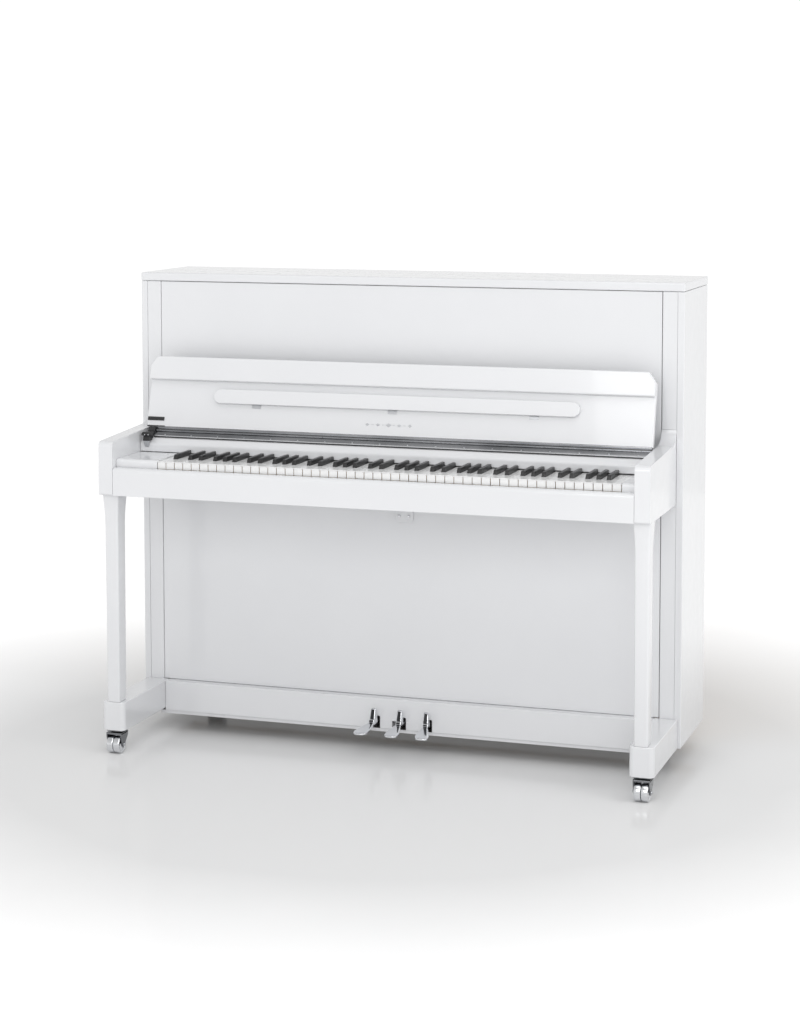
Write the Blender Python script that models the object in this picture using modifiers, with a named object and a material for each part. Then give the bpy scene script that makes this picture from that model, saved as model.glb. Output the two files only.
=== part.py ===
# Upright piano, built as an assembly. Metres, +Z up, front faces -Y, +X right.
# The origin is on the floor, midway across the width and the depth.
import math
import bpy
import bmesh
from mathutils import Matrix, Vector

for old in list(bpy.data.objects):
    bpy.data.objects.remove(old, do_unlink=True)

# Overall size
WIDTH = 1.490
DEPTH = 0.615
HEIGHT = 1.250
GAP = 0.0005

# Case planes
Y_BACK = DEPTH / 2
Y_ARM = -DEPTH / 2
Y_CASE = 0.0025
X_OUT = 0.7445
X_JOINT = 0.7267
X_IN = 0.6880
Z_LID = 1.2278
Z_SIDE = 0.0625
Z_BED = 0.6895
BED_T = 0.0320
X_FIT = 0.6874

# Keyboard
KEYS_WHITE = 52
KEY_PITCH = 0.0235
KEY_X0 = -0.5705
KEY_GAP = 0.0008
KEY_FRONT = -0.2845
KEY_BACK = 0.0600
KEY_TOP = 0.7805
KEY_BOT = 0.7605
SHARP_W = 0.0105
SHARP_FRONT = -0.2325
SHARP_BACK = -0.1385
SHARP_TOP = 0.7925
BALANCE_Y = -0.0500
OCTAVE_FIRST = 23

# Fallboard: hinge line, lower edge of its face, lean, length and thickness
HINGE_Y = -0.1020
HINGE_Z = 0.8355
FACE_Y = -0.0960
FACE_Z = 0.8450
LEAN = math.radians(15)
FALL_L = 0.1885
FALL_T = 0.0160
NOSE_H = 0.0620
NOSE_T = 0.0150

# Pedals
PEDAL_X = (-0.0640, 0.0080, 0.0800)
PEDAL_PIVOT = (0.0350, 0.0980)
ROD_Y = 0.1050

# Casters: swivel positions and wheel size
CASTER_TRAIL = 0.0120
WHEEL_R = 0.0235

main = bpy.data.collections.new("upright_piano")
bpy.context.scene.collection.children.link(main)
cutters = bpy.data.collections.new("cutters")
bpy.context.scene.collection.children.link(cutters)

LACQUER = ((0.86, 0.865, 0.875), 0.12, 0.0)
IVORY = ((0.90, 0.90, 0.89), 0.18, 0.0)
EBONY = ((0.012, 0.012, 0.013), 0.30, 0.0)
CHROME = ((0.72, 0.73, 0.75), 0.12, 1.0)
BLACK = ((0.02, 0.02, 0.022), 0.45, 0.0)
SPRUCE = ((0.66, 0.47, 0.27), 0.55, 0.0)
MAPLE = ((0.60, 0.42, 0.25), 0.50, 0.0)
BRONZE = ((0.58, 0.42, 0.18), 0.35, 0.9)
STEEL = ((0.55, 0.55, 0.57), 0.25, 1.0)
FELT = ((0.80, 0.78, 0.72), 0.95, 0.0)


def add_object(name, mesh, look, origin=(0, 0, 0)):
    obj = bpy.data.objects.new(name, mesh)
    main.objects.link(obj)
    point = Vector(origin)
    mesh.transform(Matrix.Translation(-point))
    obj.location = point
    mat = bpy.data.materials.new(name)
    mat.use_nodes = True
    shader = mat.node_tree.nodes["Principled BSDF"]
    colour, rough, metal = look
    shader.inputs["Base Color"].default_value = (*colour, 1.0)
    shader.inputs["Roughness"].default_value = rough
    shader.inputs["Metallic"].default_value = metal
    mat.diffuse_color = (*colour, 1.0)
    mesh.materials.append(mat)
    return obj


def finish(bm, name):
    bmesh.ops.remove_doubles(bm, verts=bm.verts, dist=0.00002)
    bmesh.ops.recalc_face_normals(bm, faces=bm.faces)
    mesh = bpy.data.meshes.new(name)
    bm.to_mesh(mesh)
    bm.free()
    return mesh


def add_box(bm, low, high):
    size = [high[i] - low[i] for i in range(3)]
    mid = [(high[i] + low[i]) / 2 for i in range(3)]
    made = bmesh.ops.create_cube(bm, size=1.0)
    bmesh.ops.scale(bm, vec=size, verts=made["verts"])
    bmesh.ops.translate(bm, vec=mid, verts=made["verts"])
    return made["verts"]


def add_prism(bm, outline, axis, start, end):
    """Extrude a closed outline of 2-D points along X, Y or Z."""
    def place(a, b, c):
        if axis == "X":
            return (c, a, b)
        if axis == "Y":
            return (a, c, b)
        return (a, b, c)
    first = [bm.verts.new(place(a, b, start)) for a, b in outline]
    last = [bm.verts.new(place(a, b, end)) for a, b in outline]
    count = len(outline)
    bm.faces.new(first)
    bm.faces.new(list(reversed(last)))
    for i in range(count):
        j = (i + 1) % count
        bm.faces.new((first[i], first[j], last[j], last[i]))
    return first + last


def box(name, look, low, high, bevel=0.0, segments=2):
    bm = bmesh.new()
    add_box(bm, low, high)
    obj = add_object(name, finish(bm, name), look)
    if bevel:
        round_edges(obj, bevel, segments)
    return obj


def prism(name, look, outline, axis, start, end, bevel=0.0, segments=2, origin=(0, 0, 0)):
    bm = bmesh.new()
    add_prism(bm, outline, axis, start, end)
    obj = add_object(name, finish(bm, name), look, origin)
    if bevel:
        round_edges(obj, bevel, segments)
    return obj


def round_edges(obj, width, segments=2):
    mod = obj.modifiers.new("rounded edges", "BEVEL")
    mod.width = width
    mod.segments = segments
    mod.limit_method = "ANGLE"
    mod.angle_limit = math.radians(40)


def boolean(obj, bm, operation, name):
    """Join the shapes in bm to the object, or cut them from it."""
    tool = bpy.data.objects.new(name, finish(bm, name))
    cutters.objects.link(tool)
    tool.hide_render = True
    tool.display_type = "WIRE"
    tool.matrix_world = Matrix.Translation((0, 0, 0))
    mod = obj.modifiers.new(name, "BOOLEAN")
    mod.operation = operation
    mod.solver = "EXACT"
    mod.object = tool
    return mod


def arc(cx, cy, radius, start, end, steps):
    """Points on an arc, angles in degrees."""
    points = []
    for i in range(steps + 1):
        angle = math.radians(start + (end - start) * i / steps)
        points.append((cx + radius * math.cos(angle), cy + radius * math.sin(angle)))
    return points


def both_sides(function):
    """Build a piece on the left and on the right."""
    function("left", -1)
    function("right", 1)


def span(side, inner, outer):
    """An x range given as distances from the middle, on one side."""
    return (inner, outer) if side > 0 else (-outer, -inner)


# ---------------------------------------------------------------- case
def side_board(label, side):
    x0, x1 = span(side, X_JOINT + GAP, X_OUT)
    box("side_board_" + label, LACQUER, (x0, Y_CASE - 0.0008, Z_SIDE),
        (x1, Y_BACK - 0.0020, Z_LID - GAP), 0.0020)


def arm(label, side):
    """Cheek board: lower stile, key bed arm with its sweep, and upper stile in one board."""
    x0, x1 = span(side, X_IN, X_JOINT)
    back = Y_CASE + 0.045
    outline = [(back, Z_SIDE), (back, Z_LID - GAP), (Y_CASE, Z_LID - GAP)]
    # the sweep is a quarter of an ellipse between the stile and the arm's top
    for i in range(9):
        angle = math.pi / 2 * i / 8
        outline.append((Y_CASE - 0.050 * (1 - math.cos(angle)), 0.8800 - 0.0370 * math.sin(angle)))
    outline += arc(Y_ARM + 0.014, 0.8155, 0.014, 90, 180, 5)
    outline += arc(Y_ARM + 0.006, Z_BED + 0.0055, 0.006, 180, 270, 3)
    outline += [(Y_CASE, Z_BED - 0.0005), (Y_CASE, Z_SIDE)]
    prism("arm_" + label, LACQUER, outline, "X", x0, x1, 0.0030)


def leg(label, side):
    """Tapered leg that flares out just under the key bed."""
    cx = side * 0.7032
    cy = -0.2615
    rings = ((0.1392, 0.0176, 0.0215), (0.400, 0.0180, 0.0222), (0.600, 0.0184, 0.0230),
             (0.640, 0.0192, 0.0238), (0.664, 0.0208, 0.0255), (0.6880, 0.0229, 0.0280))
    bm = bmesh.new()
    loops = []
    for z, hx, hy in rings:
        r = 0.0045
        points = (arc(hx - r, hy - r, r, 0, 90, 2) + arc(-hx + r, hy - r, r, 90, 180, 2)
                  + arc(-hx + r, -hy + r, r, 180, 270, 2) + arc(hx - r, -hy + r, r, 270, 360, 2))
        loops.append([bm.verts.new((cx + a, cy + b, z)) for a, b in points])
    bm.faces.new(loops[0])
    bm.faces.new(loops[-1])
    for low, high in zip(loops, loops[1:]):
        count = len(low)
        for i in range(count):
            j = (i + 1) % count
            bm.faces.new((low[i], low[j], high[j], high[i]))
    add_object("leg_" + label, finish(bm, "leg"), LACQUER)


def toe(label, side):
    """Toe block from the case to the front caster, its front corners rounded."""
    x0, x1 = span(side, 0.6735, 0.7365)
    front = -0.2845
    r = 0.013
    outline = [(x1, Y_CASE - 0.0014), (x0, Y_CASE - 0.0014)]
    outline += arc(x0 + r, front + r, r, 180, 270, 4)
    outline += arc(x1 - r, front + r, r, 270, 360, 4)
    prism("toe_" + label, LACQUER, outline, "Z", 0.0627, 0.1385, 0.0018)


for build in (side_board, arm, leg, toe):
    both_sides(build)

# Key bed with the front, balance and back rails of the key frame on it
prism("key_bed", MAPLE, [
    (-0.2850, Z_BED), (-0.2850, 0.7215), (-0.2680, 0.7215), (-0.2680, 0.7440), (-0.2400, 0.7440),
    (-0.2400, 0.7215), (-0.0580, 0.7215), (-0.0580, 0.7590), (-0.0420, 0.7590), (-0.0420, 0.7215),
    (0.0300, 0.7215), (0.0300, 0.7595), (0.0500, 0.7595), (0.0500, 0.7215), (0.0880, 0.7215),
    (0.0880, Z_BED)], "X", -X_FIT, X_FIT)

prism("key_slip", LACQUER, [(-0.2875, 0.6890), (Y_ARM, 0.6890)]
      + arc(Y_ARM + 0.0105, 0.7510, 0.0105, 180, 90, 5) + [(-0.2875, 0.7615)],
      "X", -X_FIT, X_FIT, 0.0010)


def key_block(name, x0, x1):
    prism(name, LACQUER, [(SHARP_BACK, 0.7445), (KEY_FRONT, 0.7445)]
          + arc(KEY_FRONT + 0.008, 0.7745, 0.008, 180, 90, 4) + [(SHARP_BACK, 0.7825)],
          "X", x0, x1, 0.0010)


KEY_X1 = KEY_X0 + KEYS_WHITE * KEY_PITCH
key_block("key_block_left", -X_FIT, KEY_X0 - 0.0008)
key_block("key_block_right", KEY_X1 + 0.0008, X_FIT)

prism("name_board", LACQUER, [
    (-0.1180, 0.7835), (-0.1365, 0.7835), (-0.1365, 0.8000), (-0.1355, 0.8045), (-0.1325, 0.8080),
    (-0.1130, 0.8225), (-0.1080, 0.8240), (0.0030, 0.8240), (0.0030, 0.8090), (-0.1180, 0.8090)],
    "X", -X_FIT, X_FIT)

box("upper_panel", LACQUER, (-0.6868, 0.0035, 0.8250), (0.6868, 0.0215, Z_LID - 0.0012), 0.0010)
panel = box("lower_panel", LACQUER, (-0.6868, 0.0035, 0.1385), (0.6868, 0.0215, 0.6880), 0.0010)

# Bottom rail with a notch for each pedal; the middle one has a step where its pedal latches
rail = box("bottom_rail", LACQUER, (-0.6730, -0.0245, 0.0575), (0.6730, 0.0240, 0.1378))
bm = bmesh.new()
for x in PEDAL_X:
    add_box(bm, (x - 0.0095, -0.05, 0.0500), (x + 0.0095, 0.05, 0.0905))
boolean(rail, bm, "DIFFERENCE", "pedal notches")
bm = bmesh.new()
add_box(bm, (PEDAL_X[1] - 0.0290, -0.05, 0.0630), (PEDAL_X[1], 0.05, 0.0790))
boolean(rail, bm, "DIFFERENCE", "latch step")
round_edges(rail, 0.0010)

box("bottom_board", MAPLE, (-0.6870, -0.0200, 0.0485), (0.6870, 0.2100, 0.0570), 0.0008, 1)
box("top_lid", LACQUER, (-WIDTH / 2, 0.0000, Z_LID), (WIDTH / 2, Y_BACK, HEIGHT), 0.0030)


# ---------------------------------------------------------------- fallboard
def fall(s, t):
    """Point s up the fallboard's face and t in front of it, as (y, z)."""
    return (FACE_Y + s * math.sin(LEAN) - t * math.cos(LEAN),
            FACE_Z + s * math.cos(LEAN) + t * math.sin(LEAN))


def clip_corners(obj, depth):
    """Cut the two top corners of a board that lies on the fallboard's face."""
    bm = bmesh.new()
    for side in (-1, 1):
        corner = [(0.6690, FALL_L + 0.002), (0.6900, FALL_L + 0.002), (0.6900, FALL_L - 0.0290)]
        first = []
        last = []
        for x, s in corner:
            y0, z0 = fall(s, depth[0])
            y1, z1 = fall(s, depth[1])
            first.append(bm.verts.new((side * x, y0, z0)))
            last.append(bm.verts.new((side * x, y1, z1)))
        bm.faces.new(first)
        bm.faces.new(last)
        for i in range(3):
            j = (i + 1) % 3
            bm.faces.new((first[i], first[j], last[j], last[i]))
    boolean(obj, bm, "DIFFERENCE", obj.name + " corners")


def slab(name, look, s0, s1, t0, t1, half_width):
    outline = [fall(s0, t0), fall(s1, t0), fall(s1, t1), fall(s0, t1)]
    return prism(name, look, outline, "X", -half_width, half_width)


board = slab("fallboard", LACQUER, 0.0, FALL_L, -FALL_T, 0.0, 0.6868)
clip_corners(board, (-0.03, 0.01))
round_edges(board, 0.0015)
nose = slab("fallboard_nose", LACQUER, FALL_L - NOSE_H, FALL_L, GAP, GAP + NOSE_T, 0.6868)
clip_corners(nose, (-0.01, 0.03))
round_edges(nose, 0.0030)

# Music ledge: a long strip with round ends, folded flat against the face
bm = bmesh.new()
ends = arc(0.4785, 0.0867, 0.0190, -90, 90, 6) + arc(-0.4785, 0.0867, 0.0190, 90, 270, 6)
low = [bm.verts.new((x, *fall(s, GAP))) for x, s in ends]
high = [bm.verts.new((x, *fall(s, 0.0115))) for x, s in ends]
bm.faces.new(low)
bm.faces.new(high)
for i in range(len(ends)):
    j = (i + 1) % len(ends)
    bm.faces.new((low[i], low[j], high[j], high[i]))
ledge = add_object("music_ledge", finish(bm, "music_ledge"), LACQUER)
round_edges(ledge, 0.0015)

# Continuous hinge: knuckle and the leaf that lies on the name board
prism("fallboard_hinge", CHROME,
      arc(HINGE_Y, HINGE_Z, 0.0035, -60, 200, 10) + [(-0.1118, 0.8268), (-0.1195, 0.8210),
      (-0.1187, 0.8194), (-0.1125, 0.8238), (-0.1040, 0.8252)], "X", -0.6560, 0.6850)


# Soft-close damper at the bass end of the hinge, leaning on the slope of the name board
prism("fallboard_damper", BLACK, [
    (-0.1065, 0.8258), (-0.1135, 0.8243), (-0.1337, 0.8093), (-0.1374, 0.8040), (-0.1378, 0.7960),
    (-0.1420, 0.7960), (-0.1455, 0.8030), (-0.1470, 0.8110), (-0.1400, 0.8270), (-0.1330, 0.8372),
    (-0.1120, 0.8372), (-0.1065, 0.8330)], "X", -0.6760, -0.6575, 0.0010)

# ---------------------------------------------------------------- back and strings
frame = box("back_frame", SPRUCE, (-0.7262, 0.2155, 0.0627), (0.7262, 0.3035, 1.2265))
bm = bmesh.new()
POSTS = (-0.7012, -0.3500, 0.0, 0.3500, 0.7012)
HALVES = (0.0250, 0.0350, 0.0350, 0.0350, 0.0250)
for i in range(4):
    add_box(bm, (POSTS[i] + HALVES[i], 0.20, 0.1700), (POSTS[i + 1] - HALVES[i + 1], 0.32, 1.1200))
boolean(frame, bm, "DIFFERENCE", "bays")
bm = bmesh.new()
add_box(bm, (-0.7262, 0.1885, 1.1200), (0.7262, 0.2300, 1.2265))
boolean(frame, bm, "UNION", "pin block")

board = box("soundboard", SPRUCE, (-0.7180, 0.1985, 0.1100), (0.7180, 0.2075, 1.1100))
bm = bmesh.new()
run = (math.cos(math.radians(50)), math.sin(math.radians(50)))
for i in range(11):
    cx = -0.80 + 0.16 * i
    start = max((-0.690 - cx) / run[0], -0.470 / run[1])
    end = min((0.690 - cx) / run[0], 0.470 / run[1])
    verts = add_box(bm, (start, 0.2060, -0.011), (end, 0.2148, 0.011))
    turn = Matrix.Rotation(math.radians(-50), 4, "Y")
    bmesh.ops.transform(bm, matrix=Matrix.Translation((cx, 0, 0.61)) @ turn, verts=verts)
boolean(board, bm, "UNION", "ribs")

plate = prism("iron_plate", BRONZE, [(-0.715, 0.170), (0.715, 0.170), (0.715, 1.2200), (-0.715, 1.2200)],
              "Y", 0.1690, 0.1830)
bm = bmesh.new()
add_prism(bm, [(-0.655, 0.270), (-0.300, 0.230), (-0.300, 1.080), (-0.655, 1.080)], "Y", 0.15, 0.20)
add_prism(bm, [(-0.265, 0.230), (0.050, 0.330), (0.050, 1.080), (-0.265, 1.080)], "Y", 0.15, 0.20)
add_prism(bm, [(0.085, 0.345), (0.400, 0.600), (0.400, 1.080), (0.085, 1.080)], "Y", 0.15, 0.20)
add_prism(bm, [(0.435, 0.640), (0.655, 0.880), (0.655, 1.080), (0.435, 1.080)], "Y", 0.15, 0.20)
boolean(plate, bm, "DIFFERENCE", "plate windows")


def string_foot(x):
    """Height of the strings' lower end under x."""
    t = (x + 0.62) / 1.26
    return 0.235 + 0.70 * t ** 1.6


# Strings: one bar for each note's unison, held between the top bar and the curved foot
bm = bmesh.new()
steps = 14
upper = [(-0.63 + 1.28 * i / steps, string_foot(-0.63 + 1.28 * i / steps + 0.0)) for i in range(steps + 1)]
upper[0] = (-0.63, string_foot(-0.62))
foot = upper + [(x, z - 0.012) for x, z in reversed(upper)]
add_prism(bm, foot, "Y", 0.1600, 0.1660)
strings = add_object("string_set", finish(bm, "string_set"), STEEL)
bm = bmesh.new()
NOTES = 88
for i in range(NOTES):
    x = -0.612 + 1.244 * i / (NOTES - 1)
    add_box(bm, (x - 0.0016, 0.1612, string_foot(x) - 0.004), (x + 0.0016, 0.1632, 1.150))
boolean(strings, bm, "UNION", "unisons")
bm = bmesh.new()
add_box(bm, (-0.630, 0.1600, 1.145), (0.650, 0.1670, 1.157))
boolean(strings, bm, "UNION", "pressure bar")

# ---------------------------------------------------------------- action
action = prism("action_frame", MAPLE, [(0.0720, 0.8650), (0.0900, 0.8650), (0.0900, 0.8870), (0.0720, 0.8870)],
               "X", -0.6300, 0.6700)
bm = bmesh.new()
for x in (-0.6200, -0.2300, 0.1900, 0.6600):
    add_prism(bm, [(0.0660, 0.7220), (0.0860, 0.7220), (0.0880, 0.8900), (0.0800, 1.0000),
                   (0.0700, 1.0000), (0.0660, 0.8800)], "X", x - 0.006, x + 0.006)
boolean(action, bm, "UNION", "brackets")

NOTE_X0 = KEY_X0 + 0.010
NOTE_X1 = KEY_X1 - 0.012


def comb(name, look, rail_low, rail_high, outline, half, origin):
    """A rail with the same small piece repeated for every note."""
    bm = bmesh.new()
    add_box(bm, rail_low, rail_high)
    obj = add_object(name, finish(bm, name), look, origin)
    bm = bmesh.new()
    for i in range(NOTES):
        x = NOTE_X0 + (NOTE_X1 - NOTE_X0) * i / (NOTES - 1)
        add_prism(bm, outline, "X", x - half, x + half)
    boolean(obj, bm, "UNION", name + " pieces")
    return obj


comb("hammer_set", FELT, (-0.600, 0.0930, 0.8920), (0.655, 0.1070, 0.9020),
     [(0.0970, 0.8960), (0.1030, 0.8960), (0.1010, 1.0060), (0.1180, 1.0100), (0.1180, 1.0260),
      (0.0820, 1.0220), (0.0820, 1.0120), (0.0950, 1.0060)], 0.0045, (0, 0.1000, 0.8970))
comb("damper_set", FELT, (-0.600, 0.1180, 0.8740), (0.655, 0.1300, 0.8840),
     [(0.1225, 0.8800), (0.1250, 0.8800), (0.1290, 0.9300), (0.1570, 0.9300), (0.1570, 0.9650),
      (0.1440, 0.9650), (0.1270, 0.9380)], 0.0035, (0, 0.1240, 0.8790))
box("muffler_rail", FELT, (-0.600, 0.1395, 1.0450), (0.655, 0.1450, 1.1050), 0.0010, 1)


# ---------------------------------------------------------------- keys
# Whites count from A: 0 A, 1 B, 2 C, 3 D, 4 E, 5 F, 6 G; a sharp follows A, C, D, F and G.


def has_sharp(white):
    return white % 7 in (0, 2, 3, 5, 6) and white < KEYS_WHITE - 1


def sharp_centre(white):
    shift = {0: 0.0030, 2: -0.0030, 3: 0.0030, 5: -0.0035, 6: 0.0}[white % 7]
    return KEY_X0 + (white + 1) * KEY_PITCH + shift


def sharp_outline(bottom):
    """Side view of a sharp's raised cap on its stick."""
    return [(SHARP_FRONT, bottom), (SHARP_BACK, bottom), (SHARP_BACK, SHARP_TOP),
            (SHARP_FRONT + 0.0060, SHARP_TOP), (SHARP_FRONT + 0.0010, SHARP_TOP - 0.0040)]


def white_key(white, name):
    """One natural key, cut back beside its sharps so that each key moves by itself."""
    x0 = KEY_X0 + white * KEY_PITCH + KEY_GAP / 2
    x1 = x0 + KEY_PITCH - KEY_GAP
    left = x0
    right = x1
    if white > 0 and has_sharp(white - 1):
        left = max(x0, sharp_centre(white - 1) + SHARP_W / 2 + 0.0010)
    if has_sharp(white):
        right = min(x1, sharp_centre(white) - SHARP_W / 2 - 0.0010)
    notch = SHARP_FRONT - 0.0015
    outline = [(x0, KEY_FRONT), (x1, KEY_FRONT), (x1, notch)]
    if right < x1:
        outline.append((right, notch))
    outline += [(right, KEY_BACK), (left, KEY_BACK)]
    if left > x0:
        outline.append((left, notch))
    outline.append((x0, notch))
    return prism(name, IVORY, outline, "Z", KEY_BOT, KEY_TOP, 0.0006, 1, (0, BALANCE_Y, KEY_BOT))


def black_key(white, name):
    cx = sharp_centre(white)
    outline = [(SHARP_FRONT, KEY_BOT), (KEY_BACK, KEY_BOT), (KEY_BACK, KEY_TOP),
               (SHARP_BACK, KEY_TOP), (SHARP_BACK, SHARP_TOP), (SHARP_FRONT + 0.0060, SHARP_TOP),
               (SHARP_FRONT + 0.0010, SHARP_TOP - 0.0040)]
    return prism(name, EBONY, outline, "X", cx - SHARP_W / 2, cx + SHARP_W / 2, 0.0006, 1,
                 (0, BALANCE_Y, KEY_BOT))


def key_group(name, first, last):
    """All the keys from one white key up to another, as one block with raised sharps."""
    x0 = KEY_X0 + first * KEY_PITCH + KEY_GAP / 2
    x1 = KEY_X0 + last * KEY_PITCH - KEY_GAP / 2
    bm = bmesh.new()
    add_box(bm, (x0, KEY_FRONT, KEY_BOT), (x1, KEY_BACK, KEY_TOP))
    obj = add_object(name, finish(bm, name), IVORY, (0, BALANCE_Y, KEY_BOT))
    bm = bmesh.new()
    for white in range(first, last):
        if has_sharp(white) and white + 1 < last:
            cx = sharp_centre(white)
            add_prism(bm, sharp_outline(KEY_TOP - 0.002), "X", cx - SHARP_W / 2, cx + SHARP_W / 2)
    boolean(obj, bm, "UNION", name + " sharps")
    return obj


key_group("keys_bass", 0, OCTAVE_FIRST)
key_group("keys_treble", OCTAVE_FIRST + 7, KEYS_WHITE)
LETTERS = ("c", "d", "e", "f", "g", "a", "b")
for step, letter in enumerate(LETTERS):
    number = OCTAVE_FIRST + step
    white_key(number, "key_" + letter)
    if has_sharp(number):
        black_key(number, "key_" + letter + "_sharp")


# ---------------------------------------------------------------- pedals
def pedal(label, x, lean):
    """Lever on a pivot behind the rail; outside its notch it stands up in a hump, then the foot pad."""
    py, pz = PEDAL_PIVOT
    side = [(0.1130, 0.0960), (0.1130, 0.1060), (0.0350, 0.1075), (0.0280, 0.1040), (0.0245, 0.0880),
            (-0.0300, 0.0865), (-0.0345, 0.0900), (-0.0385, 0.1100), (-0.0410, 0.1150), (-0.0450, 0.1165),
            (-0.0485, 0.1150), (-0.0510, 0.1110), (-0.0575, 0.0890), (-0.0600, 0.0882), (-0.0615, 0.0815),
            (-0.0700, 0.0800), (-0.0700, 0.0720), (-0.0560, 0.0735), (0.0230, 0.0745), (0.0280, 0.0900),
            (0.0350, 0.0890)]
    bm = bmesh.new()
    verts = add_prism(bm, side, "X", x - 0.0060, x + 0.0060)
    for v in verts:
        v.co.x += lean * max(0.0, -0.045 - v.co.y)
    obj = add_object("pedal_" + label, finish(bm, "pedal"), CHROME, (x, py, pz))
    bm = bmesh.new()
    outline = [(-0.0072, -0.0620), (-0.0105, -0.0750), (-0.0150, -0.0950), (-0.0178, -0.1100),
               (-0.0186, -0.1200), (-0.0170, -0.1300), (-0.0110, -0.1370), (0.0, -0.1390),
               (0.0110, -0.1370), (0.0170, -0.1300), (0.0186, -0.1200), (0.0178, -0.1100),
               (0.0150, -0.0950), (0.0105, -0.0750), (0.0072, -0.0620)]
    verts = add_prism(bm, outline, "Z", 0.0732, 0.0812)
    for v in verts:
        v.co.z -= 0.12 * (-0.0620 - v.co.y)
        v.co.x += x + lean * (-0.045 - v.co.y)
    boolean(obj, bm, "UNION", "pad " + label)


def rod(label, x):
    bm = bmesh.new()
    bmesh.ops.create_cone(bm, cap_ends=True, segments=12, radius1=0.005, radius2=0.005, depth=0.750)
    bmesh.ops.translate(bm, vec=(x, ROD_Y, 0.1070 + 0.375), verts=bm.verts)
    add_object("pedal_rod_" + label, finish(bm, "rod"), MAPLE)


for label, x, lean in zip(("left", "middle", "right"), PEDAL_X, (-0.12, 0.03, 0.16)):
    pedal(label, x, lean)
    rod(label, x)


# ---------------------------------------------------------------- casters
def caster(label, x, y, top):
    """Round swivel head on a fork, with a pair of wheels close together between its cheeks."""
    bm = bmesh.new()
    add_prism(bm, arc(x, y, 0.0235, 0, 345, 23), "Z", top - 0.0045, top)
    frame = add_object("caster_frame_" + label, finish(bm, "caster_frame"), CHROME, (x, y, top))
    wy = y - CASTER_TRAIL
    bm = bmesh.new()
    add_box(bm, (x - 0.0215, wy - 0.0130, top - 0.0120), (x + 0.0215, y + 0.0140, top - 0.0030))
    boolean(frame, bm, "UNION", "saddle " + label)
    cheek = [(wy - 0.0130, top - 0.0050), (y + 0.0140, top - 0.0050), (y + 0.0140, top - 0.0130),
             (wy + 0.0060, 0.0180), (wy - 0.0060, 0.0180), (wy - 0.0080, 0.0260)]
    for side in (-1, 1):
        x0, x1 = span(side, 0.0190, 0.0215)
        bm = bmesh.new()
        add_prism(bm, cheek, "X", x + x0, x + x1)
        boolean(frame, bm, "UNION", "cheek " + label)
    profile = [(-0.0184, 0.0), (-0.0184, 0.0190), (-0.0172, 0.0222), (-0.0150, WHEEL_R),
               (-0.0022, WHEEL_R), (-0.0008, 0.0222), (-0.0008, 0.0170)]
    profile += [(-a, b) for a, b in reversed(profile)]
    segments = 24
    bm = bmesh.new()
    rings = []
    for a, b in profile:
        if b == 0.0:
            rings.append([bm.verts.new((x + a, wy, WHEEL_R))])
            continue
        ring = []
        for i in range(segments):
            # half a step of turn puts a flat of the tread on the floor
            angle = 2 * math.pi * (i + 0.5) / segments
            reach = b / math.cos(math.pi / segments) if b == WHEEL_R else b
            ring.append(bm.verts.new((x + a, wy + reach * math.cos(angle), WHEEL_R + reach * math.sin(angle))))
        rings.append(ring)
    for one, two in zip(rings, rings[1:]):
        for i in range(segments):
            j = (i + 1) % segments
            if len(one) == 1:
                bm.faces.new((one[0], two[i], two[j]))
            elif len(two) == 1:
                bm.faces.new((one[i], one[j], two[0]))
            else:
                bm.faces.new((one[i], one[j], two[j], two[i]))
    add_object("caster_wheels_" + label, finish(bm, "caster_wheels"), CHROME, (x, wy, WHEEL_R))


caster("front_left", -0.7050, -0.2540, 0.0622)
caster("front_right", 0.7050, -0.2540, 0.0622)
caster("rear_left", -0.6400, 0.2620, 0.0622)
caster("rear_right", 0.6400, 0.2620, 0.0622)
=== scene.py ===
"""Looks of an upright piano in white gloss lacquer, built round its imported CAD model.

Metres, +Z up. The front faces -Y and +X is the player's right.
"""
import math
import bpy
import bmesh
from mathutils import Euler, Matrix, Vector


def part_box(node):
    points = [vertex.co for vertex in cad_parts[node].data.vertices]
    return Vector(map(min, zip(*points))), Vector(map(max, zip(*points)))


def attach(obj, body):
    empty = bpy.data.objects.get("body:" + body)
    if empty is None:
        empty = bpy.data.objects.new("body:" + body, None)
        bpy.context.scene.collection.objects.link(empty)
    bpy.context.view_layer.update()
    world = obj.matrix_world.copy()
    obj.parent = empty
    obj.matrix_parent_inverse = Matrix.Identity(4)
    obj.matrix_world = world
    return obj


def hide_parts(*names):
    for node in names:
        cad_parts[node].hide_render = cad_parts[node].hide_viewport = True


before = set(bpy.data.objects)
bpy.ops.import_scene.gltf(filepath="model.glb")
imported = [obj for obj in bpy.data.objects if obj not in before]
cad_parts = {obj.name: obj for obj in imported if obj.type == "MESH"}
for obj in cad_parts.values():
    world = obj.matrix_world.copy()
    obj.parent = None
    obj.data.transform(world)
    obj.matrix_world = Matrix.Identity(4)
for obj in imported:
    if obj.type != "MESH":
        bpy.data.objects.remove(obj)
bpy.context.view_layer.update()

# ---- places taken from the frame
ARM_LOW, ARM_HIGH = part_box("arm_right")
X_IN, X_JOINT = ARM_LOW.x, ARM_HIGH.x
Y_ARM = ARM_LOW.y
Y_STILE_BACK = ARM_HIGH.y
Z_SIDE = ARM_LOW.z
Z_CASE_TOP = ARM_HIGH.z
Y_CASE = Y_STILE_BACK - 0.045
SLIP_LOW, SLIP_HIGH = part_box("key_slip")
X_FIT = SLIP_HIGH.x
Z_BED = SLIP_LOW.z + 0.0005
ARM_TOP = 0.843
SWEEP_TOP = 0.88
STILE_SPLIT = 0.879
LEG_SPLIT = 0.682

# Hairline between two boards, clearance between touching pieces, and a mark used by piece()
HAIR = 0.0004
CLEAR = 0.0002
OWN = "own"

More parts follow.
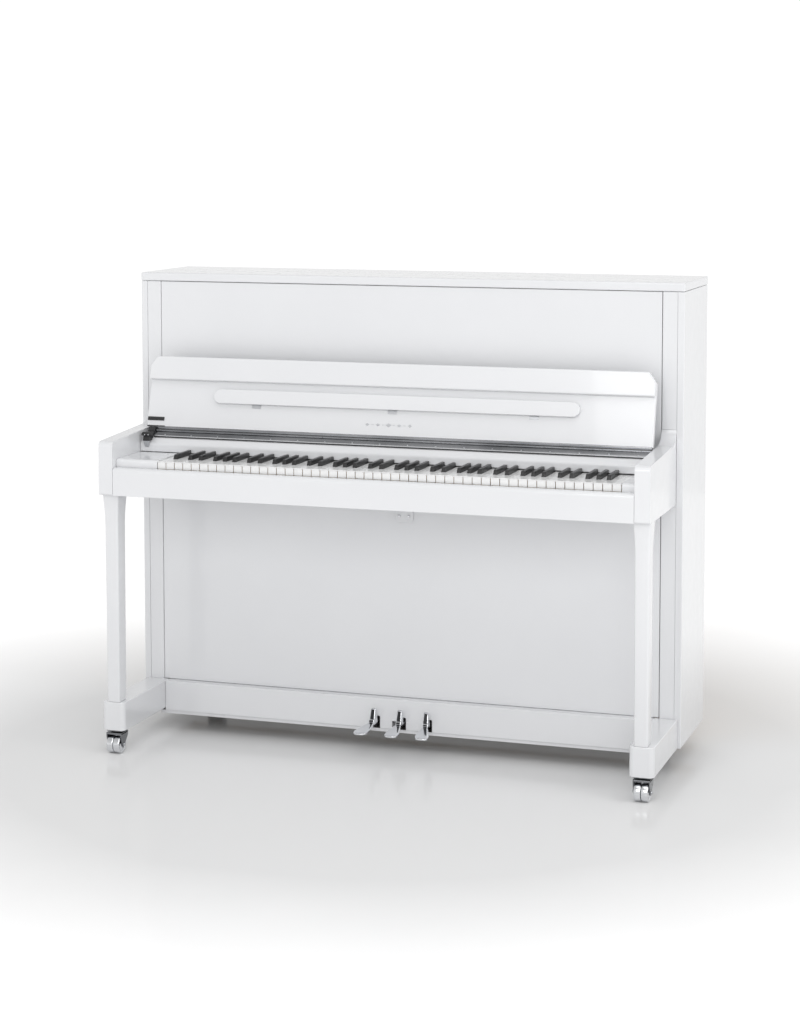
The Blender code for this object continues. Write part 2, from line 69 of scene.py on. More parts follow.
# Keyboard
BASS_LOW, BASS_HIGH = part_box("keys_bass")
TREBLE_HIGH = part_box("keys_treble")[1]
KEYS_WHITE = 52
OCTAVE_FIRST = 23
KEY_GAP = 0.0007
KEY_X0 = BASS_LOW.x - 0.0004
KEY_PITCH = (TREBLE_HIGH.x + 0.0004 - KEY_X0) / KEYS_WHITE
KEY_FRONT, KEY_BACK = BASS_LOW.y, BASS_HIGH.y
KEY_BOT = BASS_LOW.z
KEY_TOP = KEY_BOT + 0.02
CAP_T = 0.0024
SHARP_FRONT, SHARP_BACK = -0.2325, -0.1385
SHARP_TOP = BASS_HIGH.z
SHARP_W = 0.0105
SHOULDER = SHARP_FRONT - 0.0015

# Fallboard: hinge line, lower edge of its face, lean, length and thickness
HINGE_Y, HINGE_Z = -0.102, 0.8355
FACE_Y, FACE_Z = -0.096, 0.845
LEAN = math.radians(15)
FALL_L, FALL_T = 0.1885, 0.016
FALL_HALF = 0.6868
NOSE_H, NOSE_T = 0.062, 0.015
LEDGE_S, LEDGE_H = 0.0867, 0.019

# Pedals and casters
PEDAL_X = {"left": -0.064, "middle": 0.008, "right": 0.08}
PEDAL_LEAN = {"left": -0.12, "middle": 0.03, "right": 0.16}
NOTCH_HALF, NOTCH_TOP = 0.0095, 0.0905
LATCH_REACH, LATCH_LOW, LATCH_TOP = 0.029, 0.063, 0.079
PIVOT_Y, PIVOT_Z = 0.035, 0.098
CASTER_TRAIL = 0.012
WHEEL_R = 0.0235


# ---- shapes
def arc(cx, cy, radius, start, end, steps):
    """Points on an arc, angles in degrees."""
    points = []
    for i in range(steps + 1):
        angle = math.radians(start + (end - start) * i / steps)
        points.append((cx + radius * math.cos(angle), cy + radius * math.sin(angle)))
    return points


def rounded(x0, y0, x1, y1, r, steps=5):
    """Rectangle with round corners."""
    return (arc(x1 - r, y1 - r, r, 0, 90, steps) + arc(x0 + r, y1 - r, r, 90, 180, steps)
            + arc(x0 + r, y0 + r, r, 180, 270, steps) + arc(x1 - r, y0 + r, r, 270, 360, steps))


def along_x(a, b, c):
    return Vector((c, a, b))


def along_y(a, b, c):
    return Vector((a, c, b))


def along_z(a, b, c):
    return Vector((a, b, c))


def on_face(x, s, t):
    """Point s up the fallboard's face and t in front of it."""
    return Vector((x, FACE_Y + s * math.sin(LEAN) - t * math.cos(LEAN),
                   FACE_Z + s * math.cos(LEAN) + t * math.sin(LEAN)))


def add_loft(bm, rings):
    """Skin a row of closed rings, with a face over each end."""
    loops = [[bm.verts.new(p) for p in ring] for ring in rings]
    bm.faces.new(loops[0])
    bm.faces.new(list(reversed(loops[-1])))
    for one, two in zip(loops, loops[1:]):
        count = len(one)
        for i in range(count):
            j = (i + 1) % count
            bm.faces.new((one[i], one[j], two[j], two[i]))
    return loops


def add_prism(bm, outline, place, start, end):
    """Extrude an outline; place(a, b, c) says where its points go."""
    return add_loft(bm, [[place(a, b, start) for a, b in outline], [place(a, b, end) for a, b in outline]])


def quad(x, half, near, far, z):
    """Level rectangle about x."""
    return [Vector((x - half, near, z)), Vector((x + half, near, z)),
            Vector((x + half, far, z)), Vector((x - half, far, z))]


def add_box(bm, low, high):
    outline = [(low[0], low[1]), (high[0], low[1]), (high[0], high[1]), (low[0], high[1])]
    return add_prism(bm, outline, along_z, low[2], high[2])


def circle(radius, sides):
    turns = [2 * math.pi * (i + 0.5) / sides for i in range(sides)]
    return [(radius * math.cos(a), radius * math.sin(a)) for a in turns]


def add_turned(bm, profile, centre, direction, sides=32):
    """Turned shape: profile holds (distance along direction, radius)."""
    turn = Vector(direction).to_track_quat("Z", "Y")
    centre = Vector(centre)
    add_loft(bm, [[centre + turn @ Vector((a, b, d)) for a, b in circle(r, sides)] for d, r in profile])


def add_tube(bm, path, radius, sides=8):
    """Round bar through the points of path."""
    path = [Vector(p) for p in path]
    rings = []
    for i, point in enumerate(path):
        ahead = path[min(i + 1, len(path) - 1)] - path[max(i - 1, 0)]
        turn = ahead.to_track_quat("Z", "Y")
        rings.append([point + turn @ Vector((a, b, 0)) for a, b in circle(radius, sides)])
    add_loft(bm, rings)


def add_screw(bm, centre, direction, radius):
    """Slotted screw head: a thin disc with two half-moons on it."""
    turn = Vector(direction).to_track_quat("Z", "Y")
    centre = Vector(centre)
    thick = radius * 0.28
    add_turned(bm, [(0, radius), (thick * 0.5, radius)], centre, direction, 16)
    for flip in (0, 180):
        half = arc(0, 0, radius * 0.97, 12 + flip, 168 + flip, 8)
        low = [centre + turn @ Vector((a, b, thick * 0.55)) for a, b in half]
        high = [centre + turn @ Vector((a * 0.8, b * 0.8 + 0.2 * half[0][1], thick * 1.3)) for a, b in half]
        add_loft(bm, [low, high])


# ---- pieces
def to_mesh(bm, name):
    bmesh.ops.recalc_face_normals(bm, faces=bm.faces)
    mesh = bpy.data.meshes.new(name)
    bm.to_mesh(mesh)
    bm.free()
    return mesh


def new_object(name, data):
    obj = bpy.data.objects.new(name, data)
    bpy.context.scene.collection.objects.link(obj)
    return obj


def round_edges(obj, width, segments, angle, limit="ANGLE"):
    mod = obj.modifiers.new("rounded edges", "BEVEL")
    mod.width = width
    mod.segments = segments
    mod.limit_method = limit
    mod.angle_limit = math.radians(angle)


def cut(obj, bm):
    """Cut the shapes in bm from the object, for good."""
    tool = new_object("cutter", to_mesh(bm, "cutter"))
    mod = obj.modifiers.new("cut", "BOOLEAN")
    mod.operation = "DIFFERENCE"
    mod.solver = "EXACT"
    mod.object = tool
    graph = bpy.context.evaluated_depsgraph_get()
    done = bpy.data.meshes.new_from_object(obj.evaluated_get(graph))
    obj.modifiers.remove(mod)
    obj.data = done
    bpy.data.objects.remove(tool)


def piece(name, bm, finish, body="case", stands_for=(), bevel=0.0, segments=3, weight=None,
          holes=None, sharp=32):
    """Make an object from bm that rides on a body.

    stands_for names the CAD nodes it replaces; OWN is the one with its own name.
    weight(point) scales the bevel edge by edge.
    """
    if weight:
        bmesh.ops.recalc_face_normals(bm, faces=bm.faces)
        bm.normal_update()
        layer = bm.edges.layers.float.new("bevel_weight_edge")
        for edge in bm.edges:
            if len(edge.link_faces) == 2 and edge.calc_face_angle() > math.radians(sharp):
                edge[layer] = weight((edge.verts[0].co + edge.verts[1].co) / 2)
    mesh = to_mesh(bm, name)
    mesh.materials.append(finish_named(finish))
    obj = new_object(name, mesh)
    if holes:
        cut(obj, holes)
    mesh = obj.data
    mesh.polygons.foreach_set("use_smooth", [True] * len(mesh.polygons))
    if bevel:
        round_edges(obj, bevel, segments, sharp, "WEIGHT" if weight else "ANGLE")
        obj.modifiers.new("even shading", "WEIGHTED_NORMAL").keep_sharp = True
    else:
        mesh.set_sharp_from_angle(angle=math.radians(sharp))
    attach(obj, body)
    if stands_for:
        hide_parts(*([name] if stands_for == OWN else stands_for))
    return obj


def board(name, finish, low, high, bevel, body="case", stands_for=(), **how):
    bm = bmesh.new()
    add_box(bm, low, high)
    return piece(name, bm, finish, body, stands_for, bevel, **how)


def prism(name, finish, outline, place, start, end, body="case", stands_for=(), bevel=0.0, **how):
    bm = bmesh.new()
    add_prism(bm, outline, place, start, end)
    return piece(name, bm, finish, body, stands_for, bevel, **how)


def turned(name, finish, profile, centre, direction, sides, body="case", stands_for=(), sharp=40):
    bm = bmesh.new()
    add_turned(bm, profile, centre, direction, sides)
    return piece(name, bm, finish, body, stands_for, sharp=sharp)


def keep(node, finish, bevel=0.0):
    """Leave a CAD node showing, with a finish and finer edges."""
    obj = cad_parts[node]
    for place in obj.material_slots:
        place.material = finish_named(finish)
    if bevel:
        round_edges(obj, bevel, 2, 40)


# ---- finishes

class Finish:
    """A Principled material with the nodes that vary it, in the object's own coordinates."""

    def __init__(self, name, **fixed):
        self.material = bpy.data.materials.new(name)
        self.material.use_nodes = True
        self.tree = self.material.node_tree
        self.shader = self.tree.nodes["Principled BSDF"]
        for key, value in fixed.items():
            self.shader.inputs[key.replace("_", " ")].default_value = value
        self.place = self.node("ShaderNodeTexCoord").outputs["Object"]

    def node(self, kind, links=(), **values):
        made = self.tree.nodes.new(kind)
        for key, value in values.items():
            made.inputs[key.replace("_", " ")].default_value = value
        for key, source in dict(links).items():
            self.tree.links.new(source, made.inputs[key])
        return made

    def stretched(self, scale, turn=(0, 0, 0)):
        rotated = self.node("ShaderNodeMapping", {"Vector": self.place}, Rotation=turn)
        return self.node("ShaderNodeMapping", {"Vector": rotated.outputs[0]}, Scale=scale).outputs[0]

    def noise(self, scale, detail=3.0, place=None, distortion=0.0):
        links = {"Vector": place or self.place}
        return self.node("ShaderNodeTexNoise", links, Scale=scale, Detail=detail,
                         Distortion=distortion).outputs[0]

    def layer(self, scale, detail, stretch=None, distortion=0.0):
        return self.noise(scale, detail, self.stretched(stretch) if stretch else None, distortion)

    def math(self, operation, links, factor=0.5):
        made = self.node("ShaderNodeMath", links)
        made.operation = operation
        if 1 not in links:
            made.inputs[1].default_value = factor
        return made.outputs[0]

    def ranged(self, value, *limits):
        made = self.node("ShaderNodeMapRange", {"Value": value})
        for key, number in zip(("From Min", "From Max", "To Min", "To Max"), limits):
            made.inputs[key].default_value = number
        return made.outputs[0]

    def bands(self, scale, distortion, place, across):
        made = self.node("ShaderNodeTexWave", {"Vector": place}, Scale=scale, Distortion=distortion,
                         Detail=2.0, Detail_Scale=1.5)
        made.wave_profile = "SAW"
        made.bands_direction = across
        return made.outputs["Fac"]

    def turns(self, scale):
        """Fine turns of wire across a string."""
        made = self.node("ShaderNodeTexWave", {"Vector": self.place}, Scale=scale)
        made.bands_direction = "Z"
        return made.outputs["Fac"]

    def spots(self, scale):
        made = self.node("ShaderNodeTexVoronoi", {"Vector": self.place}, Scale=scale)
        return made.outputs["Distance"]

    def colours(self, value, dark, light, start=0.3, stop=0.7):
        made = self.node("ShaderNodeValToRGB", {"Fac": value})
        for end, position, colour in zip(made.color_ramp.elements, (start, stop), (dark, light)):
            end.position = position
            end.color = (*colour, 1.0)
        self.tree.links.new(made.outputs[0], self.shader.inputs["Base Color"])

    def roughness(self, value, low, high):
        self.tree.links.new(self.ranged(value, 0.3, 0.7, low, high), self.shader.inputs["Roughness"])

    def bump(self, height, distance, strength=0.5):
        made = self.node("ShaderNodeBump", {"Height": height}, Strength=strength, Distance=distance)
        before = self.shader.inputs["Normal"].links
        if before:
            self.tree.links.new(before[0].from_socket, made.inputs["Normal"])
        self.tree.links.new(made.outputs[0], self.shader.inputs["Normal"])


# Each layer is a noise: (scale, detail), then its stretch and its distortion if it has them.
# A finish: colour layer, dark, light, gloss layer, roughness range, bump layers with their
# distance and strength, and the shader's fixed inputs.
GRAIN = (0.06, 1, 1)
STREAKS = (1, 0.06, 1)
FIBRES = ((220, 4, GRAIN), 0.0002, 0.3)
SURFACES = {
    # White polyester: a clear coat over pale colour, with the faint waviness of a polished film
    "lacquer": ((2.5, 5), (0.722, 0.728, 0.745), (0.747, 0.753, 0.768), (35, 4), (0.12, 0.2),
                [((9, 1), 0.0006, 0.12), ((420, 2), 0.00002, 0.25)],
                dict(Coat_Weight=0.5, Coat_Roughness=0.03, IOR=1.5)),
    # White primer on the boards that face the floor, and a near-black finish on the bottom board that
    # stands in for the shade under the piano: painted shade
    "painted_wood": ((60, 5, GRAIN), (0.66, 0.665, 0.68), (0.72, 0.725, 0.74), (90, 4, GRAIN),
                     (0.38, 0.52), [FIBRES], dict(Coat_Weight=0.1, Coat_Roughness=0.3)),
    "underside_painted_shade": ((60, 5, GRAIN), (0.045, 0.042, 0.04), (0.085, 0.08, 0.076), (90, 4, GRAIN),
                    (0.55, 0.75), [FIBRES], dict(IOR=1.45)),
    # Moulded key covers, satin where fingers polish them
    "ivory_plastic": ((14, 4), (0.79, 0.79, 0.788), (0.822, 0.822, 0.82), (60, 5), (0.16, 0.3),
                      [((900, 3, (1, 0.25, 1)), 0.00003, 0.3)],
                      dict(Coat_Weight=0.25, Coat_Roughness=0.1, IOR=1.49)),
    # Sharps: black moulded resin with fine streaks along the key
    "ebony_plastic": ((420, 4, STREAKS), (0.009, 0.009, 0.01), (0.026, 0.025, 0.026),
                      (260, 4, STREAKS), (0.26, 0.42), [((700, 3, STREAKS), 0.00005, 0.35)],
                      dict(IOR=1.5)),
    # Plate in bronze paint over sand-cast iron
    "cast_iron": ((45, 6), (0.45, 0.31, 0.12), (0.6, 0.44, 0.2), (120, 4), (0.28, 0.44),
                  [((260, 5), 0.0004, 0.35)],
                  dict(Metallic=0.75, Coat_Weight=0.3, Coat_Roughness=0.12)),
    "black_plastic": ((30, 5), (0.012, 0.012, 0.013), (0.03, 0.03, 0.032), (90, 4),
                      (0.34, 0.5), [], dict(IOR=1.48)),
    "rubber": ((60, 5), (0.015, 0.015, 0.015), (0.045, 0.044, 0.043), (120, 4), (0.62, 0.82),
               [((700, 3), 0.00012, 0.4)], dict(Specular_IOR_Level=0.3)),
    # Copper wire wound round a steel core
    "wound_copper": ((40, 4), (0.55, 0.26, 0.14), (0.75, 0.4, 0.24), (300, 3), (0.22, 0.38), [],
                     dict(Metallic=1.0))}

# Dark, light, roughness range, stretch of the polishing marks, and their depth
METALS = {
    "chrome": ((0.7, 0.71, 0.73), (0.8, 0.81, 0.83), (0.06, 0.15), (1, 1, 0.2), 0.00002),
    "steel": ((0.5, 0.51, 0.53), (0.6, 0.61, 0.63), (0.22, 0.36), (0.08, 1, 1), 0.00005),
    "brass": ((0.62, 0.5, 0.3), (0.74, 0.62, 0.4), (0.14, 0.26), (0.1, 1, 1), 0.00003),
    "hinge_chrome": ((0.17, 0.175, 0.185), (0.36, 0.365, 0.38), (0.14, 0.3), (0.04, 1, 1), 0.00004),
    # Near-black metal for the pedals' bands: painted dark reflection
    "painted_dark_reflection": ((0.03, 0.031, 0.034), (0.085, 0.087, 0.092), (0.16, 0.3), (1, 1, 0.2), 0.00003)}

# Dark, light, stretch along the grain, its lean in degrees about Y and in radians about Z, rings a
# metre, roughness range, coat, and the axis the rings lie across
SPRUCE = ((0.44, 0.27, 0.13), (0.72, 0.53, 0.32))
MAPLE = ((0.5, 0.34, 0.19), (0.68, 0.5, 0.32))
WOODS = {
    "spruce_upright": (*SPRUCE, (1, 1, 0.05), (0, 0.3), 30, (0.45, 0.65), 0.1, "X"),
    "spruce_across": (*SPRUCE, (0.05, 1, 1), (0, 0), 30, (0.45, 0.65), 0.1, "Z"),
    "spruce_rib": ((0.52, 0.34, 0.17), (0.74, 0.55, 0.32), (1, 1, 0.04), (-40, 0), 60, (0.4, 0.6),
                   0.1, "X"),
    "spruce_soundboard": ((0.56, 0.37, 0.18), (0.76, 0.57, 0.33), (1, 1, 0.03), (38, 0), 95,
                          (0.28, 0.42), 0.45, "X"),
    "maple_upright": (*MAPLE, (1, 1, 0.08), (0, 0.2), 16, (0.35, 0.55), 0.25, "X"),
    "maple_across": (*MAPLE, (0.08, 1, 1), (0, 0), 16, (0.35, 0.55), 0.25, "Z"),
    "maple_lengthwise": ((0.52, 0.37, 0.22), (0.7, 0.54, 0.36), (1, 0.08, 1), (0, 0), 22,
                         (0.4, 0.6), 0.1, "X")}

FELTS = {
    "felt": ((0.66, 0.64, 0.58), (0.82, 0.8, 0.74)),
    "felt_red": ((0.25, 0.018, 0.02), (0.42, 0.04, 0.04)),
    "felt_black": ((0.01, 0.01, 0.011), (0.03, 0.03, 0.032))}

made_finishes = {}

# Floor: colour near the piano, darker there as a painted shadow, and far off, the painted glow that lifts
# it far off, and where it fades
FLOOR_PAINTED_SHADOW, FLOOR_FAR, FLOOR_PAINTED_GLOW = 0.78, 0.965, 0.22
FADE_FROM, FADE_TO = 0.28, 0.5


def layered(name, tint, dark, light, gloss, rough, bumps, fixed):
    look = Finish(name, **fixed)
    look.colours(look.layer(*tint), dark, light)
    look.roughness(look.layer(*gloss), *rough)
    for layer, distance, strength in bumps:
        look.bump(look.layer(*layer), distance, strength)
    return look


def surface(name):
    look = layered(name, *SURFACES[name])
    if name == "black_plastic":
        look.bump(look.spots(1500), 0.00006, 0.4)
    if name == "wound_copper":
        look.bump(look.turns(380.0), 0.0003, 0.6)
    return look


def metal(name):
    """Bare or plated metal with polishing marks drawn out along one axis."""
    dark, light, rough, brush, depth = METALS[name]
    return layered(name, (7, 4), dark, light, (180, 5, brush), rough, [((900, 2, brush), depth, 0.3)],
                   dict(Metallic=1.0))


def wood(name):
    """Grain drawn out along one axis: growth rings, then pores."""
    dark, light, grain, turn, ring, rough, coat, across = WOODS[name]
    look = Finish(name, Coat_Weight=coat, Coat_Roughness=0.25)
    drawn = look.stretched(grain, (0, math.radians(turn[0]), turn[1]))
    rings = look.bands(ring, 2.2, drawn, across)
    fibres = look.noise(240, 5, drawn, 0.4)
    mixed = look.math("MULTIPLY_ADD", {0: rings, 1: fibres, 2: look.noise(3.0, 3, drawn)})
    look.colours(mixed, dark, light, 0.35, 1.05)
    look.roughness(fibres, *rough)
    look.bump(fibres, 0.00025, 0.35)
    return look


def felt(name):
    """Pressed wool: soft sheen over matted fibres."""
    dark, light = FELTS[name]
    return layered(name, (500, 6, None, 1.5), dark, light, (200, 3), (0.85, 0.98),
                   [((1400, 5, None, 2.0), 0.0004, 0.7)],
                   dict(Sheen_Weight=0.5, Sheen_Roughness=0.5, Specular_IOR_Level=0.15))


def studio_floor(name):
    """Seamless pale floor: darker round the piano as a painted shadow, white further out where a painted
    glow lifts it.
    """
    look = Finish(name, IOR=1.15)
    reach = look.node("ShaderNodeVectorMath", {0: look.place})
    reach.operation = "LENGTH"
    uneven = look.math("MULTIPLY_ADD", {0: look.noise(1.5, 4), 2: reach.outputs["Value"]}, 0.15)
    spread = look.math("MULTIPLY", {0: uneven}, 0.25)
    # Colour darkens towards the piano: painted shadow round it
    look.colours(spread, [FLOOR_PAINTED_SHADOW] * 3, [FLOOR_FAR] * 3, FADE_FROM, FADE_TO)
    # Emission that brightens the floor far off: painted glow
    painted_glow = look.ranged(spread, FADE_FROM, FADE_TO, 0.0, FLOOR_PAINTED_GLOW)
    look.shader.inputs["Emission Color"].default_value = (1.0, 1.0, 1.0, 1.0)
    look.tree.links.new(painted_glow, look.shader.inputs["Emission Strength"])
    look.roughness(look.noise(4, 4), 0.08, 0.14)
    look.bump(look.noise(300, 2), 0.00005, 0.1)
    return look


def finish_named(name):
    if name not in made_finishes:
        tables = ((SURFACES, surface), (METALS, metal), (WOODS, wood), (FELTS, felt),
                  (("studio_floor",), studio_floor))
        maker = next(make for table, make in tables if name in table)
        made_finishes[name] = maker(name).material
    return made_finishes[name]


# ---- case
def span(side, inner, outer):
    return (inner, outer) if side > 0 else (-outer, -inner)


def joint_weight(point):
    """Small bevel where two boards meet, full where an edge is open."""
    at_side_board = abs(abs(point.x) - X_JOINT) < 0.0015 and point.y > Y_CASE - 0.0012
    at_joint = min(abs(point.z - STILE_SPLIT), abs(point.z - LEG_SPLIT)) < 0.001
    return 0.16 if at_side_board or at_joint else 1.0


def side(label, sign):
    """Outer side board and the three boards of the cheek in front of it."""
    low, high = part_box("side_board_" + label)
    board("side_board_" + label, "lacquer", low, high, 0.0024, stands_for=OWN, weight=joint_weight)
    x0, x1 = span(sign, X_IN, X_JOINT)
    board("lower_stile_" + label, "lacquer", (x0, Y_CASE, Z_SIDE), (x1, Y_STILE_BACK, LEG_SPLIT - HAIR / 2),
          0.003, weight=joint_weight)
    board("upper_stile_" + label, "lacquer", (x0, Y_CASE, STILE_SPLIT + HAIR / 2),
          (x1, Y_STILE_BACK, Z_CASE_TOP), 0.003, weight=joint_weight)
    outline = [(Y_STILE_BACK, LEG_SPLIT + HAIR / 2), (Y_STILE_BACK, STILE_SPLIT - HAIR / 2),
               (Y_CASE, STILE_SPLIT - HAIR / 2)]
    steps = 20
    for i in range(2, steps + 1):
        angle = math.pi / 2 * i / steps
        outline.append((Y_CASE - 0.05 * (1 - math.cos(angle)),
                        SWEEP_TOP - (SWEEP_TOP - ARM_TOP) * math.sin(angle)))
    outline += arc(Y_ARM + 0.014, 0.8155, 0.014, 90, 180, 10)
    outline += arc(Y_ARM + 0.006, Z_BED + 0.0055, 0.006, 180, 270, 6)
    outline += [(Y_CASE, Z_BED - 0.0005), (Y_CASE, LEG_SPLIT + HAIR / 2)]
    prism("arm_" + label, "lacquer", outline, along_x, x0, x1, "case", OWN, 0.0032, weight=joint_weight)


def leg(label, sign):
    """Slim square leg that flares out just under the key bed."""
    low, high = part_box("leg_" + label)
    middle = (low + high) / 2
    flare_from = 0.6
    rings = []
    steps = 28
    for i in range(steps + 1):
        z = low.z + (high.z - low.z) * i / steps
        rise = (z - low.z) / (high.z - low.z)
        flare = max(0.0, (z - flare_from) / (high.z - flare_from)) ** 2
        hx = 0.0176 + 0.0009 * rise + 0.0045 * flare
        hy = 0.0215 + 0.0016 * rise + 0.005 * flare
        shrink = 0.0006 if i in (0, steps) else 0.0
        outline = rounded(-hx + shrink, -hy + shrink, hx - shrink, hy - shrink, 0.0042)
        rings.append([Vector((middle.x + a, middle.y + b, z)) for a, b in outline])
    bm = bmesh.new()
    add_loft(bm, rings)
    piece("leg_" + label, bm, "lacquer", stands_for=OWN, sharp=40)
    # Black strip at the leg's top under the key bed: painted shadow of the gap there
    x0, x1 = span(sign, X_IN - 0.0035, X_FIT + 0.009)
    board("leg_top_painted_shade_" + label, "black_plastic", (x0, low.y + 0.0008, high.z + 0.0001),
          (x1, high.y - 0.001, high.z + 0.0012), 0.0002)


def toe(label):
    """Toe block from the case to the front caster, its front corners rounded."""
    low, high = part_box("toe_" + label)
    r = 0.013
    outline = [(high.x, high.y), (low.x, high.y)]
    outline += arc(low.x + r, low.y + r, r, 180, 270, 10) + arc(high.x - r, low.y + r, r, 270, 360, 10)
    prism("toe_" + label, "lacquer", outline, along_z, low.z, high.z, "case", OWN, 0.0022)


def keyboard_surround():
    """Key slip, key blocks and the name board over the keys."""
    r = 0.0105
    outline = [(SLIP_HIGH.y, SLIP_LOW.z), (Y_ARM, SLIP_LOW.z)]
    outline += arc(Y_ARM + r, SLIP_HIGH.z - r, r, 180, 90, 12) + [(SLIP_HIGH.y, SLIP_HIGH.z)]
    prism("key_slip", "lacquer", outline, along_x, -X_FIT, X_FIT, "case", OWN, 0.001, sharp=40)
    for label in ("left", "right"):
        low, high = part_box("key_block_" + label)
        outline = [(high.y, low.z), (low.y, low.z)]
        outline += arc(low.y + 0.008, high.z - 0.008, 0.008, 180, 90, 8) + [(high.y, high.z)]
        prism("key_block_" + label, "lacquer", outline, along_x, low.x, high.x, "case", OWN, 0.001,
              sharp=40)
    low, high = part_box("name_board")
    outline = [(-0.118, low.z), (low.y, low.z)] + arc(-0.1265, 0.8, 0.01, 180, 127, 8)
    outline += [(-0.113, 0.8225), (-0.1105, 0.8236), (-0.108, high.z), (high.y, high.z), (high.y, 0.809),
                (-0.118, 0.809)]
    prism("name_board", "lacquer", outline, along_x, low.x, high.x, "case", OWN, 0.0006, sharp=40)
    board("name_board_felt", "felt_black", (KEY_X0 - 0.001, low.y - 0.0012, KEY_TOP + 0.0007),
          (-KEY_X0 + 0.08, low.y + 0.01, low.z - 0.0002), 0.0006)
    board("front_rail_felt", "felt_red", (KEY_X0, -0.2665, 0.7441), (TREBLE_HIGH.x, -0.2415, 0.7466),
          0.0008)
    keep("key_bed", "painted_wood", 0.0008)


def panels():
    """Upper and lower panels; the lower one has battens behind and its catch in front."""
    board("upper_panel", "lacquer", *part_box("upper_panel"), 0.0012, "case", OWN)
    low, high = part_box("lower_panel")
    board("lower_panel", "lacquer", low, high, 0.0012, "lower_panel", OWN)
    for label, x in (("left", -0.56), ("middle", 0.0), ("right", 0.56)):
        board("lower_panel_batten_" + label, "spruce_upright", (x - 0.03, high.y + 0.0002, low.z + 0.05),
              (x + 0.03, high.y + 0.015, high.z - 0.04), 0.003, "lower_panel")
    prism("panel_catch_plate", "lacquer", rounded(-0.02, 0.605, 0.03, 0.642, 0.012, 8), along_y,
          low.y - 0.004, low.y - CLEAR, "lower_panel", bevel=0.0015)
    bm = bmesh.new()
    for x in (-0.008, 0.018):
        add_turned(bm, [(0.0, 0.0036), (0.003, 0.0036), (0.0042, 0.0028), (0.0046, 0.0012)],
                   (x, low.y - 0.004, 0.623), (0, -1, 0), 20)
    piece("panel_catch_buttons", bm, "chrome", "lower_panel", sharp=50)


def bottom_rail():
    """Rail with a felt-lined notch for each pedal, the latch step, and the board behind it."""
    low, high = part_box("bottom_rail")
    bm = bmesh.new()
    add_box(bm, low, high)
    holes = bmesh.new()
    for x in PEDAL_X.values():
        outline = [(x - NOTCH_HALF, low.z - 0.01), (x + NOTCH_HALF, low.z - 0.01)]
        outline += arc(x + NOTCH_HALF - 0.0035, NOTCH_TOP - 0.0035, 0.0035, 0, 90, 5)
        outline += arc(x - NOTCH_HALF + 0.0035, NOTCH_TOP - 0.0035, 0.0035, 90, 180, 5)
        if x == PEDAL_X["middle"]:
            outline += [(x - NOTCH_HALF, LATCH_TOP), (x - LATCH_REACH, LATCH_TOP),
                        (x - LATCH_REACH, LATCH_LOW), (x - NOTCH_HALF, LATCH_LOW)]
        add_prism(holes, outline, along_y, low.y - 0.01, high.y + 0.01)
    piece("bottom_rail", bm, "lacquer", stands_for=OWN, bevel=0.001, holes=holes)
    bm = bmesh.new()
    front, back = low.y + 0.0008, high.y - 0.0005
    corner = 0.003
    for label, x in PEDAL_X.items():
        left, right = x - NOTCH_HALF, x + NOTCH_HALF
        top = NOTCH_TOP - corner
        foot = LATCH_TOP + CLEAR if label == "middle" else low.z
        add_box(bm, (right - 0.0014, front, low.z), (right - 0.0001, back, top))
        add_box(bm, (left + corner, front, NOTCH_TOP - 0.0014), (right - corner, back, NOTCH_TOP - 0.0001))
        add_box(bm, (left + 0.0001, front, foot), (left + 0.0014, back, top))
    piece("pedal_notch_felt", bm, "felt_black", bevel=0.0004)
    # Near-black bottom board: painted shade, keeping the floor under the piano dark
    keep("bottom_board", "underside_painted_shade")
    low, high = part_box("bottom_board")
    board("bottom_board_edge", "painted_wood", (low.x, low.y - 0.0022, low.z),
          (high.x, low.y - CLEAR, high.z), 0.0006)
    bm = bmesh.new()
    for x in PEDAL_X.values():
        for sign in (-1, 1):
            x0, x1 = span(sign, 0.0095, 0.0125)
            add_prism(bm, rounded(PIVOT_Y - 0.008, 0.0572, PIVOT_Y + 0.008, PIVOT_Z + 0.008, 0.006),
                      along_x, x + x0, x + x1)
    piece("pedal_brackets", bm, "steel", bevel=0.0006)


def lid():
    """Lid with its rear piano hinge and the rubber buttons it rests on."""
    low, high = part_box("top_lid")
    board("top_lid", "lacquer", low, high, 0.0034, "lid", OWN, segments=4)
    bm = bmesh.new()
    for x in (-0.68, -0.23, 0.23, 0.68):
        add_turned(bm, [(0.0, 0.007), (0.0002, 0.007), (0.0006, 0.0062)], (x, 0.03, low.z - 0.0002),
                   (0, 0, -1), 20)
    piece("lid_buttons", bm, "rubber", "lid", sharp=50)


both = (("left", -1), ("right", 1))
for build in (side, leg):
    for label, sign in both:
        build(label, sign)
for label, sign in both:
    toe(label)
keyboard_surround()
panels()
bottom_rail()
lid()


# ---- fallboard
def fall_outline(s0, s1):
    """Board across the face, its two top corners cut."""
    half, top, shoulder = FALL_HALF, 0.669, s1 - 0.025
    return [(-half, s0), (half, s0), (half, shoulder), (top, s1), (-top, s1), (-half, shoulder)]


def fallboard():
    """The folding board, its nose, and the ledge with round ends across its face."""
    prism("fallboard", "lacquer", fall_outline(0.0, FALL_L), on_face, -FALL_T, 0.0,
          "fallboard", OWN, 0.0016, sharp=25)
    prism("fallboard_nose", "lacquer", fall_outline(FALL_L - NOSE_H, FALL_L), on_face,
          0.0005, 0.0005 + NOSE_T, "fallboard_nose", OWN, 0.0034, segments=4, sharp=25)
    reach = 0.4785
    outline = arc(reach, LEDGE_S, LEDGE_H, -90, 90, 18) + arc(-reach, LEDGE_S, LEDGE_H, 90, 270, 18)
    prism("music_ledge", "lacquer", outline, on_face, 0.0005, 0.0115, "music_ledge", OWN, 0.0018)


